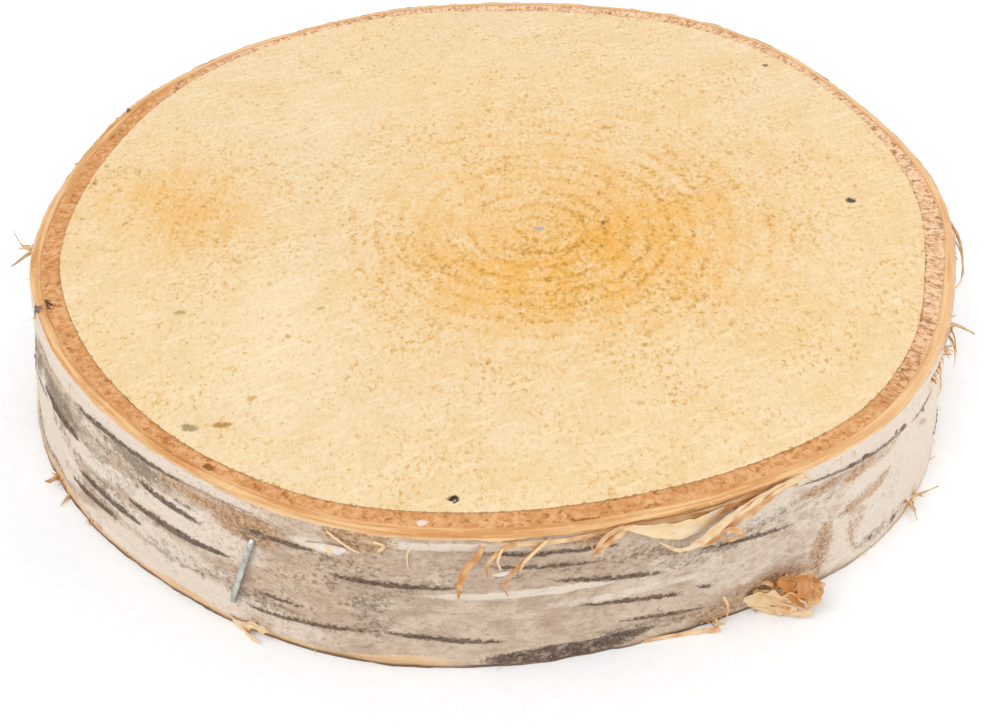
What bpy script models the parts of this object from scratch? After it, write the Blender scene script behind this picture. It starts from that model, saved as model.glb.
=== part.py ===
"""Birch wood slice, sawn across a small birch log with the bark left on.

The slice has four bodies: the disc of wood, the ring of inner bark round it,
the thin papery outer bark with its lenticels and torn peels, and a wire staple
whose legs go through the bark into the wood. It lies on its sawn underside at
z = 0. +X is to the right, and -Y is the front, where the bark is torn.
Directions round the slice are in degrees, counter-clockwise from +X.
"""
import math
import random

import bmesh
import bpy
from mathutils import Matrix, Vector, noise

MM = 0.001

# Driving dimensions in millimetres
WOOD_RADIUS = 63.0
THICKNESS = 22.0
GAP = 0.3
SEGMENTS = 120

# How far the wood stands out from WOOD_RADIUS, every 15 degrees from +X
WOOD_OFFSETS = (-0.5, 0.5, 2.0, 4.0, 4.5, 2.5, 1.0, 1.0, 0.0, -1.0, -2.5, -4.0,
                -4.0, -3.0, -2.5, -1.5, 0.0, 1.0, 0.5, 0.0, 0.5, 1.5, 0.5, -1.0)

# Both barks together, and the outer bark alone, every 30 degrees
BARK_THICKNESS = (4.3, 2.6, 4.0, 3.8, 2.6, 3.8, 4.1, 4.0, 3.4, 4.5, 3.9, 3.9)
OUTER_THICKNESS = (1.1, 1.0, 1.0, 1.0, 1.0, 1.4, 1.2, 1.3, 1.4, 1.6, 1.1, 1.4)

# The log stood a little askew to the saw, so the underside reaches further out
UNDERSIDE_REACH = (1.0, 0.3, 0.0, 0.0, 0.5, 1.5, 2.4, 3.0, 1.0, -0.6, -0.7, 1.4)

# Outer bark: a lip at each sawn edge, the wall set back between them
LIP_SET_BACK = 0.25
TOP_LIP = 1.8
UNDERSIDE_LIP = 1.2
WALL_HEIGHTS = (0.0, 1.0, 2.0, 4.5, 7.5, 10.5, 13.5, 16.5, 19.0, 20.6, 22.0)
BUMP_HEIGHT = 0.25
BUMP_WIDTH = 9.0
RAGGED_EDGE = 0.7

# Lenticels stand out from the bark as low ridges and are sunk into it
LENTICEL_RISE = 0.35
LENTICEL_ROOT = 0.45
LENTICEL_TAPER = (0.35, 0.85, 1.0, 0.85, 0.35)
# From direction and height, to direction and height, and how tall each one is
FRONT_LENTICELS = (
    (-152.3, 12.4, -140.8, 12.6, 1.2),
    (-141.3, 18.1, -120.5, 19.8, 0.8),
    (-141.3, 7.4, -128.8, 7.8, 0.9),
    (-130.9, 10.3, -115.9, 11.0, 1.1),
    (-128.8, 14.9, -119.0, 14.5, 0.7),
    (-114.0, 3.9, -99.6, 5.5, 0.9),
    (-113.2, 7.2, -107.2, 7.4, 0.7),
    (-111.3, 17.0, -105.5, 17.3, 0.9),
    (-104.2, 14.2, -91.6, 14.0, 1.1),
    (-99.0, 5.5, -87.0, 4.3, 1.0),
    (-89.1, 19.6, -76.1, 18.4, 0.9),
    (-88.6, 17.4, -77.1, 16.3, 0.8),
    (-82.6, 14.2, -70.7, 11.9, 0.9),
    (-79.6, 9.4, -68.2, 7.1, 0.9),
    (-75.1, 5.1, -65.3, 3.2, 0.8),
    (-66.8, 7.6, -64.8, 6.9, 0.7),
    (-67.0, 14.3, -56.1, 12.9, 0.9),
    (-56.6, 19.4, -38.8, 17.5, 0.8),
    (-51.5, 3.2, -51.0, 8.6, 1.9),
    (-38.0, 17.3, -31.0, 16.6, 0.7),
)
BACK_LENTICELS = 20
BACK_LENTICELS_FROM = -26.0
BACK_LENTICELS_TO = 202.0
BACK_LENTICEL_HEIGHTS = (3.2, 8.2, 12.6, 17.2)
SEED = 7

# Torn peels: direction, height, distance out from the wall, and width
PEEL_THICKNESS = 0.7
PEEL_ROOT = -0.35
PEEL_STEPS = 3
PEELS = {
    "long_peel": ((-57.5, 19.8, PEEL_ROOT, 1.6), (-60.0, 20.0, 0.5, 2.0), (-63.0, 18.4, 1.5, 2.2),
                  (-66.0, 16.8, 2.0, 1.7), (-68.4, 15.7, 2.2, 0.8)),
    "broad_peel": ((-64.0, 19.9, PEEL_ROOT, 2.4), (-67.0, 19.4, 0.5, 3.4), (-69.6, 18.3, 1.2, 2.8),
                   (-71.4, 16.4, 1.5, 0.8)),
    "curl_on_peel": ((-63.0, 17.6, PEEL_ROOT, 1.4), (-62.6, 16.6, 0.9, 1.5), (-63.6, 15.4, 1.9, 1.3),
                     (-65.0, 15.6, 2.6, 0.8)),
    "left_shred": ((-74.6, 20.9, PEEL_ROOT, 1.2), (-76.4, 20.0, 0.8, 1.4), (-78.3, 18.6, 1.2, 0.7)),
    "front_strand_left": ((-88.6, 20.6, PEEL_ROOT, 1.0), (-90.0, 19.2, 1.1, 1.3),
                          (-91.2, 16.6, 1.6, 1.4), (-91.6, 13.6, 1.0, 0.7)),
    "front_strand_middle": ((-86.6, 20.9, PEEL_ROOT, 1.0), (-88.2, 19.8, 1.0, 0.9),
                            (-88.9, 17.6, 1.5, 0.9), (-88.3, 15.6, 1.2, 0.7)),
    "front_strand_right": ((-83.8, 20.9, PEEL_ROOT, 1.4), (-85.0, 19.2, 0.9, 1.5),
                           (-86.4, 16.8, 1.4, 1.2), (-87.0, 13.8, 1.0, 0.7)),
    "left_fork_upper": ((-174.0, 18.8, PEEL_ROOT, 1.4), (-173.4, 18.6, 1.4, 1.3),
                        (-174.4, 18.7, 3.2, 1.0), (-176.4, 19.8, 4.8, 0.7)),
    "left_fork_lower": ((-173.6, 18.6, PEEL_ROOT, 1.2), (-173.0, 18.3, 1.4, 1.1),
                        (-171.4, 17.4, 4.0, 0.7)),
    "foot_flap": ((-62.6, 2.4, PEEL_ROOT, 2.4), (-59.8, 2.5, 0.6, 3.4), (-56.6, 2.6, 2.0, 4.2),
                  (-53.6, 2.5, 3.8, 3.8), (-51.6, 2.1, 5.2, 2.6)),
    "foot_curl": ((-57.8, 3.8, PEEL_ROOT, 1.6), (-55.6, 4.7, 1.6, 2.2), (-53.6, 5.0, 3.4, 2.2),
                  (-52.0, 4.4, 4.6, 1.4)),
    "foot_peel": ((-68.6, 1.0, PEEL_ROOT, 0.9), (-66.0, 0.9, 0.5, 1.2), (-63.6, 0.9, 1.8, 1.4)),
    "foot_fluff": ((-116.2, 1.4, PEEL_ROOT, 1.0), (-114.4, 1.2, 0.8, 1.6), (-112.2, 0.9, 1.6, 1.2)),
    "foot_fibre_left": ((-146.4, 1.0, PEEL_ROOT, 0.9), (-147.6, 1.0, 1.1, 0.8), (-149.0, 1.2, 2.4, 0.7)),
    "foot_fibre_right": ((-33.8, 1.3, PEEL_ROOT, 1.0), (-32.8, 1.5, 1.3, 0.9), (-31.4, 2.0, 3.0, 0.7)),
    "foot_fibre_low": ((-34.6, 1.0, PEEL_ROOT, 0.9), (-35.2, 0.8, 1.2, 0.8), (-36.2, 0.7, 2.2, 0.7)),
    "right_fibre": ((-13.4, 13.2, PEEL_ROOT, 0.9), (-14.6, 13.8, 1.8, 0.8), (-17.0, 15.0, 3.8, 0.7)),
    "right_shred": ((-20.4, 18.6, PEEL_ROOT, 1.2), (-21.4, 17.4, 0.9, 1.3), (-22.2, 15.0, 1.6, 0.8)),
    "right_lip_peel": ((4.0, 20.6, PEEL_ROOT, 1.4), (1.4, 20.4, 0.7, 1.7), (-1.6, 19.8, 1.1, 1.5),
                       (-4.2, 18.6, 1.2, 0.7)),
    "back_peel_right": ((58.0, 19.6, PEEL_ROOT, 1.8), (61.6, 19.2, 0.7, 2.6), (65.0, 17.4, 1.5, 2.0),
                        (67.6, 15.4, 1.8, 0.8)),
    "back_shred": ((104.0, 20.4, PEEL_ROOT, 1.2), (105.6, 18.8, 0.9, 1.3), (106.2, 16.4, 1.4, 0.7)),
    "back_foot_peel": ((137.0, 1.6, PEEL_ROOT, 1.4), (140.6, 1.5, 0.6, 2.0), (144.0, 1.3, 1.6, 1.2)),
}

# Wire staple: where its two corners meet the bark, and its wire
STAPLE_TOP = (-112.3, 15.9)
STAPLE_FOOT = (-115.9, 3.7)
STAPLE_CROWN = 12.9
STAPLE_WIRE_WIDTH = 0.7
STAPLE_WIRE_THICKNESS = 0.5
STAPLE_LEG = 5.2
STAPLE_POINT = 0.7
STAPLE_CORNER = 0.3


def around(values, degrees):
    """Read values spaced evenly round the slice, on a smooth closed curve."""
    place = degrees * len(values) / 360.0
    first = math.floor(place)
    t = place - first
    a, b, c, d = (values[(first + step) % len(values)] for step in (-1, 0, 1, 2))
    return b + 0.5 * t * (c - a + t * (2 * a - 5 * b + 4 * c - d + t * (3 * (b - c) + d - a)))


def wood_radius(degrees, height):
    """Edge of the wood."""
    reach = around(UNDERSIDE_REACH, degrees) * (1.0 - height / THICKNESS)
    return WOOD_RADIUS + around(WOOD_OFFSETS, degrees) + reach


def inner_bark_inside(degrees, height):
    """Inner face of the inner bark, clear of the wood."""
    return wood_radius(degrees, height) + GAP


def inner_bark_outside(degrees, height):
    """Outer face of the inner bark."""
    layers = around(BARK_THICKNESS, degrees) - around(OUTER_THICKNESS, degrees)
    return wood_radius(degrees, height) + layers - GAP


def outer_bark_inside(degrees, height):
    """Inner face of the outer bark, clear of the inner bark."""
    return inner_bark_outside(degrees, height) + GAP


def outer_bark_outside(degrees, height):
    """Face of the bark that shows, with a lip at each sawn edge and low bumps between."""
    radius = wood_radius(degrees, height) + around(BARK_THICKNESS, degrees)
    if UNDERSIDE_LIP < height < THICKNESS - TOP_LIP:
        angle = math.radians(degrees)
        place = Vector((math.cos(angle), math.sin(angle), 0.0)) * (radius / BUMP_WIDTH)
        place.z = height / BUMP_WIDTH
        radius += BUMP_HEIGHT * noise.noise(place) - LIP_SET_BACK
    return radius


def on_wall(degrees, height, out=0.0):
    """Point at a distance out from the face of the outer bark."""
    angle = math.radians(degrees)
    radius = outer_bark_outside(degrees, height) + out
    return Vector((radius * math.cos(angle), radius * math.sin(angle), height))


def outward(degrees):
    """Level direction that points out of the slice."""
    angle = math.radians(degrees)
    return Vector((math.cos(angle), math.sin(angle), 0.0))


def make_material(name, colour, roughness, metallic=0.0):
    """Principled material with one colour."""
    material = bpy.data.materials.new(name)
    material.use_nodes = True
    shader = material.node_tree.nodes["Principled BSDF"]
    shader.inputs["Base Color"].default_value = (*colour, 1.0)
    shader.inputs["Roughness"].default_value = roughness
    shader.inputs["Metallic"].default_value = metallic
    return material


def add_object(name, mesh, material, collection):
    """Put a mesh in the scene, shaded smooth up to its sharp edges."""
    mesh.shade_smooth()
    mesh.set_sharp_from_angle(angle=math.radians(35.0))
    if material:
        mesh.materials.append(material)
    thing = bpy.data.objects.new(name, mesh)
    collection.objects.link(thing)
    return thing


def finish_mesh(bm, name):
    """Turn a mesh made in millimetres into a named mesh in metres."""
    bmesh.ops.recalc_face_normals(bm, faces=bm.faces)
    bmesh.ops.scale(bm, vec=(MM, MM, MM), verts=bm.verts)
    mesh = bpy.data.meshes.new(name)
    bm.to_mesh(mesh)
    bm.free()
    return mesh


def make_wood(material, collection):
    """Disc of wood, one solid right through, level on both sawn faces."""
    bm = bmesh.new()
    bmesh.ops.create_cone(bm, cap_ends=True, segments=SEGMENTS, radius1=1.0, radius2=1.0, depth=1.0)
    for vert in bm.verts:
        degrees = math.degrees(math.atan2(vert.co.y, vert.co.x))
        height = THICKNESS if vert.co.z > 0.0 else 0.0
        vert.co = outward(degrees) * wood_radius(degrees, height) + Vector((0.0, 0.0, height))
    return add_object("wood", finish_mesh(bm, "wood"), material, collection)


def make_ring(name, inside, outside, heights, ragged, material, collection):
    """Ring of bark: a section turned round the log, then pressed out to the log's outline."""
    bm = bmesh.new()
    section = [(2.0, height) for height in heights] + [(1.0, heights[-1]), (1.0, heights[0])]
    verts = [bm.verts.new((radius, 0.0, height)) for radius, height in section]
    edges = [bm.edges.new((verts[i - 1], verts[i])) for i in range(len(verts))]
    bmesh.ops.spin(bm, geom=verts + edges, cent=(0.0, 0.0, 0.0), axis=(0.0, 0.0, 1.0),
                   angle=math.tau, steps=SEGMENTS, use_merge=True)
    for vert in bm.verts:
        degrees = math.degrees(math.atan2(vert.co.y, vert.co.x))
        height = vert.co.z
        shape = outside if vert.co.xy.length > 1.5 else inside
        vert.co = outward(degrees) * shape(degrees, height)
        vert.co.z = height
        if ragged and height == THICKNESS:
            vert.co.z -= ragged * abs(noise.noise(outward(degrees) * BUMP_WIDTH))
    return add_object(name, finish_mesh(bm, name), material, collection)


def loft(sections):
    """Close a row of like sections into one solid, split alike on its two faces."""
    bm = bmesh.new()
    count = len(sections[0])
    rows = [[bm.verts.new(point) for point in section] for section in sections]
    for row, following in zip(rows, rows[1:]):
        for side in range(count):
            after = (side + 1) % count
            a, b, c, d = row[side], row[after], following[after], following[side]
            if side < count / 2:
                bm.faces.new((a, b, c))
                bm.faces.new((a, c, d))
            else:
                bm.faces.new((a, b, d))
                bm.faces.new((b, c, d))
    bm.faces.new(rows[0])
    bm.faces.new(list(reversed(rows[-1])))
    return bm


def make_lenticel(start, start_height, end, end_height, tall):
    """Low ridge along the bark, thin at both ends, with its root sunk in the bark."""
    along = on_wall(end, end_height) - on_wall(start, start_height)
    across = along.cross(outward((start + end) / 2)).normalized() * tall / 2
    sections = []
    for step, taper in enumerate(LENTICEL_TAPER):
        share = step / (len(LENTICEL_TAPER) - 1)
        degrees = start + share * (end - start)
        height = start_height + share * (end_height - start_height)
        root = on_wall(degrees, height, -LENTICEL_ROOT)
        crest = on_wall(degrees, height, LENTICEL_RISE * taper)
        sections.append((root + across * taper, root - across * taper, crest))
    return loft(sections)


def make_peel(points):
    """Curved blade of bark that leaves the wall, flat side out, along a smooth path."""
    path = []
    for first in range(len(points) - 1):
        a, b, c, d = (points[min(max(first + step, 0), len(points) - 1)] for step in (-1, 0, 1, 2))
        for step in range(PEEL_STEPS):
            t = step / PEEL_STEPS
            path.append([q + 0.5 * t * (r - p + t * (2 * p - 5 * q + 4 * r - s + t * (3 * (q - r) + s - p)))
                         for p, q, r, s in zip(a, b, c, d)])
    path.append(list(points[-1]))
    places = [on_wall(degrees, height, out) for degrees, height, out, width in path]
    sections = []
    for i, (degrees, height, out, width) in enumerate(path):
        along = (places[min(i + 1, len(places) - 1)] - places[max(i - 1, 0)]).normalized()
        across = along.cross(outward(degrees)).normalized()
        face = across.cross(along) * PEEL_THICKNESS / 2
        edge = across * width / 2
        sections.append((places[i] + edge + face, places[i] - edge + face,
                         places[i] - edge - face, places[i] + edge - face))
    return loft(sections)


def back_lenticels():
    """Lenticels on the side away from the torn bark, spread in rows with a seeded draw."""
    draw = random.Random(SEED)
    spacing = (BACK_LENTICELS_TO - BACK_LENTICELS_FROM) / BACK_LENTICELS
    for index in range(BACK_LENTICELS):
        start = BACK_LENTICELS_FROM + spacing * (index + draw.uniform(0.0, 0.3))
        length = draw.uniform(6.0, 15.0)
        height = BACK_LENTICEL_HEIGHTS[index * 3 % 4] + draw.uniform(-0.8, 0.8)
        tilt = draw.uniform(-0.6, 0.6)
        yield start, height, start + length, height + tilt, draw.uniform(0.7, 1.2)


def join_details(ring, meshes, collection):
    """Fuse the lenticels and peels into the ring that they grow from."""
    details = bpy.data.collections.new("bark_details")
    collection.children.link(details)
    for index, bm in enumerate(meshes):
        add_object(f"detail_{index}", finish_mesh(bm, f"detail_{index}"), None, details)
    union = ring.modifiers.new("details", "BOOLEAN")
    union.operation = "UNION"
    union.operand_type = "COLLECTION"
    union.collection = details
    union.solver = "MANIFOLD"
    evaluated = ring.evaluated_get(bpy.context.evaluated_depsgraph_get())
    fused = bpy.data.meshes.new_from_object(evaluated)
    ring.modifiers.remove(union)
    ring.data = fused
    for detail in list(details.objects):
        bpy.data.objects.remove(detail)
    bpy.data.collections.remove(details)


def staple_frame():
    """Middle of the crown's outer face, along the crown, into the slice, and across."""
    top, foot = on_wall(*STAPLE_TOP), on_wall(*STAPLE_FOOT)
    along = (top - foot).normalized()
    inward = -outward((STAPLE_TOP[0] + STAPLE_FOOT[0]) / 2)
    inward = (inward - along * inward.dot(along)).normalized()
    middle = (top + foot) / 2
    steps = [step / 20 for step in range(21)]
    bulge = max((on_wall(STAPLE_FOOT[0] + s * (STAPLE_TOP[0] - STAPLE_FOOT[0]),
                         STAPLE_FOOT[1] + s * (STAPLE_TOP[1] - STAPLE_FOOT[1])) - middle).dot(-inward)
                for s in steps)
    middle -= inward * (bulge + GAP + STAPLE_WIRE_THICKNESS)
    return middle, along, inward, along.cross(inward)


def staple_matrix():
    """Places the staple's flat outline: x along the crown, y into the slice."""
    middle, along, inward, across = staple_frame()
    matrix = Matrix((along, inward, across)).transposed().to_4x4()
    matrix.translation = middle * MM
    return matrix


def make_staple(material, collection):
    """Flat wire bent into a crown and two pointed legs."""
    half, wire = STAPLE_CROWN / 2, STAPLE_WIRE_THICKNESS
    side = [(half - STAPLE_CORNER, 0.0), (half, STAPLE_CORNER), (half, STAPLE_LEG),
            (half - wire / 2, STAPLE_LEG + STAPLE_POINT), (half - wire, STAPLE_LEG), (half - wire, wire)]
    outline = side + [(-x, y) for x, y in reversed(side)]
    curve = bpy.data.curves.new("staple", "CURVE")
    curve.dimensions = "2D"
    curve.fill_mode = "BOTH"
    curve.extrude = STAPLE_WIRE_WIDTH / 2 * MM
    spline = curve.splines.new("POLY")
    spline.points.add(len(outline) - 1)
    for point, (x, y) in zip(spline.points, outline):
        point.co = (x * MM, y * MM, 0.0, 1.0)
    spline.use_cyclic_u = True
    curve.materials.append(material)
    staple = bpy.data.objects.new("staple", curve)
    staple.matrix_world = staple_matrix()
    collection.objects.link(staple)
    return staple


def make_leg_cutters(collection):
    """Cutter for the two leg holes, GAP wider than the wire on each side."""
    bm = bmesh.new()
    length = STAPLE_LEG + STAPLE_POINT + GAP
    for end in (-1, 1):
        leg_middle = end * (STAPLE_CROWN - STAPLE_WIRE_THICKNESS) / 2
        size = (STAPLE_WIRE_THICKNESS + 2 * GAP, length, STAPLE_WIRE_WIDTH + 2 * GAP)
        place = Matrix.Translation((leg_middle, length / 2, 0.0)) @ Matrix.Diagonal((*size, 1.0))
        bmesh.ops.create_cube(bm, size=1.0, matrix=place)
    cutter = add_object("leg_holes", finish_mesh(bm, "leg_holes"), None, collection)
    cutter.matrix_world = staple_matrix()
    cutter.display_type = "WIRE"
    cutter.hide_render = True
    return cutter


def cut_holes(pieces, cutter):
    """Let the staple's legs through each layer."""
    for piece in pieces:
        cut = piece.modifiers.new("leg_holes", "BOOLEAN")
        cut.operation = "DIFFERENCE"
        cut.object = cutter
        cut.solver = "EXACT"


def main():
    for thing in list(bpy.data.objects):
        bpy.data.objects.remove(thing)
    slice_parts = bpy.data.collections.new("birch_wood_slice")
    cutters = bpy.data.collections.new("cutters")
    bpy.context.scene.collection.children.link(slice_parts)
    bpy.context.scene.collection.children.link(cutters)

    wood = make_wood(make_material("birch_wood", (0.90, 0.71, 0.43), 0.75), slice_parts)
    inner = make_ring("inner_bark", inner_bark_inside, inner_bark_outside, (0.0, THICKNESS), 0.0,
                      make_material("inner_bark", (0.68, 0.34, 0.13), 0.85), slice_parts)
    outer = make_ring("outer_bark", outer_bark_inside, outer_bark_outside, WALL_HEIGHTS, RAGGED_EDGE,
                      make_material("outer_bark", (0.60, 0.50, 0.41), 0.8), slice_parts)
    details = [make_lenticel(*lenticel) for lenticel in FRONT_LENTICELS + tuple(back_lenticels())]
    details += [make_peel(points) for points in PEELS.values()]
    join_details(outer, details, slice_parts)
    make_staple(make_material("staple_steel", (0.55, 0.57, 0.58), 0.35, 1.0), slice_parts)
    cut_holes((wood, inner, outer), make_leg_cutters(cutters))


main()
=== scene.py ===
"""Looks of a birch wood slice, modelled round its solid bodies.

The sawn wood, the ring of inner bark, the papery outer bark with its torn
peels and fibres, and the wire staple each replace or dress the body of the
same name. Lengths here are in millimetres unless a name says otherwise, and
directions round the slice are in degrees, counter-clockwise from +X.
"""
import functools
import math
import random

import bmesh
import bpy
from mathutils import Matrix, Vector, noise


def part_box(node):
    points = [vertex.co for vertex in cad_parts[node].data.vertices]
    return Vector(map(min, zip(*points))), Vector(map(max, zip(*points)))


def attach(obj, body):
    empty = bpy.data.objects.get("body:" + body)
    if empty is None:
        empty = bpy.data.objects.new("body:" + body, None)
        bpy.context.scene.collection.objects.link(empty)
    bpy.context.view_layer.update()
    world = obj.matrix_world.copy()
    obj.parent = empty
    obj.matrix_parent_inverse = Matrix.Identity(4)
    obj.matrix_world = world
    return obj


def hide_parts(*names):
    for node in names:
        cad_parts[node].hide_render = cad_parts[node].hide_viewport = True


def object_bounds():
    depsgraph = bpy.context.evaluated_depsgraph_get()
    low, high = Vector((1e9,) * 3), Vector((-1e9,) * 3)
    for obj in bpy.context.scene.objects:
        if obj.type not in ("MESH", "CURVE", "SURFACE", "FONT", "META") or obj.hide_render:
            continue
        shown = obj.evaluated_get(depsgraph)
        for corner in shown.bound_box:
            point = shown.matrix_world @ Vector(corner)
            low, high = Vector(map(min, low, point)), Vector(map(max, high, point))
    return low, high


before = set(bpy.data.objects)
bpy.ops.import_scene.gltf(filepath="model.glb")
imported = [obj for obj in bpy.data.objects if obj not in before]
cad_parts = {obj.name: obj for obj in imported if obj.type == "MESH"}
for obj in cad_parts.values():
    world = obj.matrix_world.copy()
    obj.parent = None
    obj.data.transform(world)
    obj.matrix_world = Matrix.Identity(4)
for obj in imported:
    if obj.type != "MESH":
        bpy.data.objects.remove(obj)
CAD_BOX = [list(corner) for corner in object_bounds()]

bl_info = {
    "name": "Birch wood slice",
    "version": (1, 0, 0),
    "blender": (4, 5, 0),
    "location": "View3D > Sidebar > Birch slice",
    "description": "Models the wood, bark, torn peels and staple of a birch slice",
    "category": "Add Mesh",
}

MM = 0.001
BODY = "root"

# The same driving dimensions as the solids have
WOOD_RADIUS = 63.0
THICKNESS = round((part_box("wood")[1].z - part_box("wood")[0].z) / MM, 3)
WOOD_OFFSETS = (-0.5, 0.5, 2.0, 4.0, 4.5, 2.5, 1.0, 1.0, 0.0, -1.0, -2.5, -4.0,
                -4.0, -3.0, -2.5, -1.5, 0.0, 1.0, 0.5, 0.0, 0.5, 1.5, 0.5, -1.0)
BARK_THICKNESS = (4.3, 2.6, 4.0, 3.8, 2.6, 3.8, 4.1, 4.0, 3.4, 4.5, 3.9, 3.9)
OUTER_THICKNESS = (1.1, 1.0, 1.0, 1.0, 1.0, 1.4, 1.2, 1.3, 1.4, 1.6, 1.1, 1.4)
UNDERSIDE_REACH = (1.0, 0.3, 0.0, 0.0, 0.5, 1.5, 2.4, 3.0, 1.0, -0.6, -0.7, 1.4)
LIP_SET_BACK = 0.25
TOP_LIP = 1.8
UNDERSIDE_LIP = 1.2
BUMP_HEIGHT = 0.25
BUMP_WIDTH = 9.0

# Growth starts at the pith, which is not in the middle of the slice. The rings
# wander by up to so many radians, of which a year has 6.3
PITH = Vector((7.7, -6.1))
RING_SPACING = 3.3
RING_WANDER = 4.0

# Lenticels, and one painted shadow line: from direction and height, to direction and height, how
# tall
FRONT_LENTICELS_AND_SHADOW_LINE = (
    (-152.3, 12.4, -140.8, 12.6, 1.6), (-141.3, 18.1, -120.5, 19.8, 1.15),
    (-141.3, 7.4, -128.8, 7.8, 1.3), (-130.9, 10.3, -115.9, 11, 1.45),
    (-128.8, 14.9, -119, 14.5, 1.2), (-114, 3.9, -99.6, 5.5, 0.9), (-113.2, 7.2, -107.2, 7.4, 0.7),
    (-111.3, 17, -105.5, 17.3, 0.9), (-104.2, 14.2, -91.6, 14, 1.1), (-99, 5.5, -87, 4.3, 1),
    (-89.1, 19.6, -76.1, 18.4, 0.9), (-88.6, 17.4, -77.1, 16.3, 0.8),
    (-82.6, 14.2, -70.7, 11.9, 0.9), (-79.6, 9.4, -68.2, 7.1, 0.9), (-75.1, 5.1, -65.3, 3.2, 0.8),
    (-66.8, 7.6, -64.8, 6.9, 0.7), (-67, 14.3, -56.1, 12.9, 0.9), (-56.6, 19.4, -38.8, 17.5, 0.8),
    (-51.4, 3.4, -51.1, 8.4, 0.7), (-38, 17.3, -31, 16.6, 0.7), (-143, 4.7, -133.5, 5.2, 1.1),
    # Painted shadow, not a lenticel: the first mark below is a dark line low at the left, where the
    # bark's foot curls up off the table
    (-160, 2.2, -144, 2, 0.5), (-158, 10.2, -151.5, 10.6, 0.7), (-121.5, 19.8, -112, 20.3, 0.4),
    (-123, 16.2, -119.5, 16, 0.5), (-71.5, 15.6, -68, 15.3, 0.4),
)
BACK_LENTICELS = 20
BACK_LENTICELS_FROM = -26.0
BACK_LENTICELS_TO = 202.0
BACK_LENTICEL_HEIGHTS = (3.2, 8.2, 12.6, 17.2)
BACK_LENTICEL_LENGTHS = (6.0, 15.0)
BACK_SEED = 7

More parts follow.
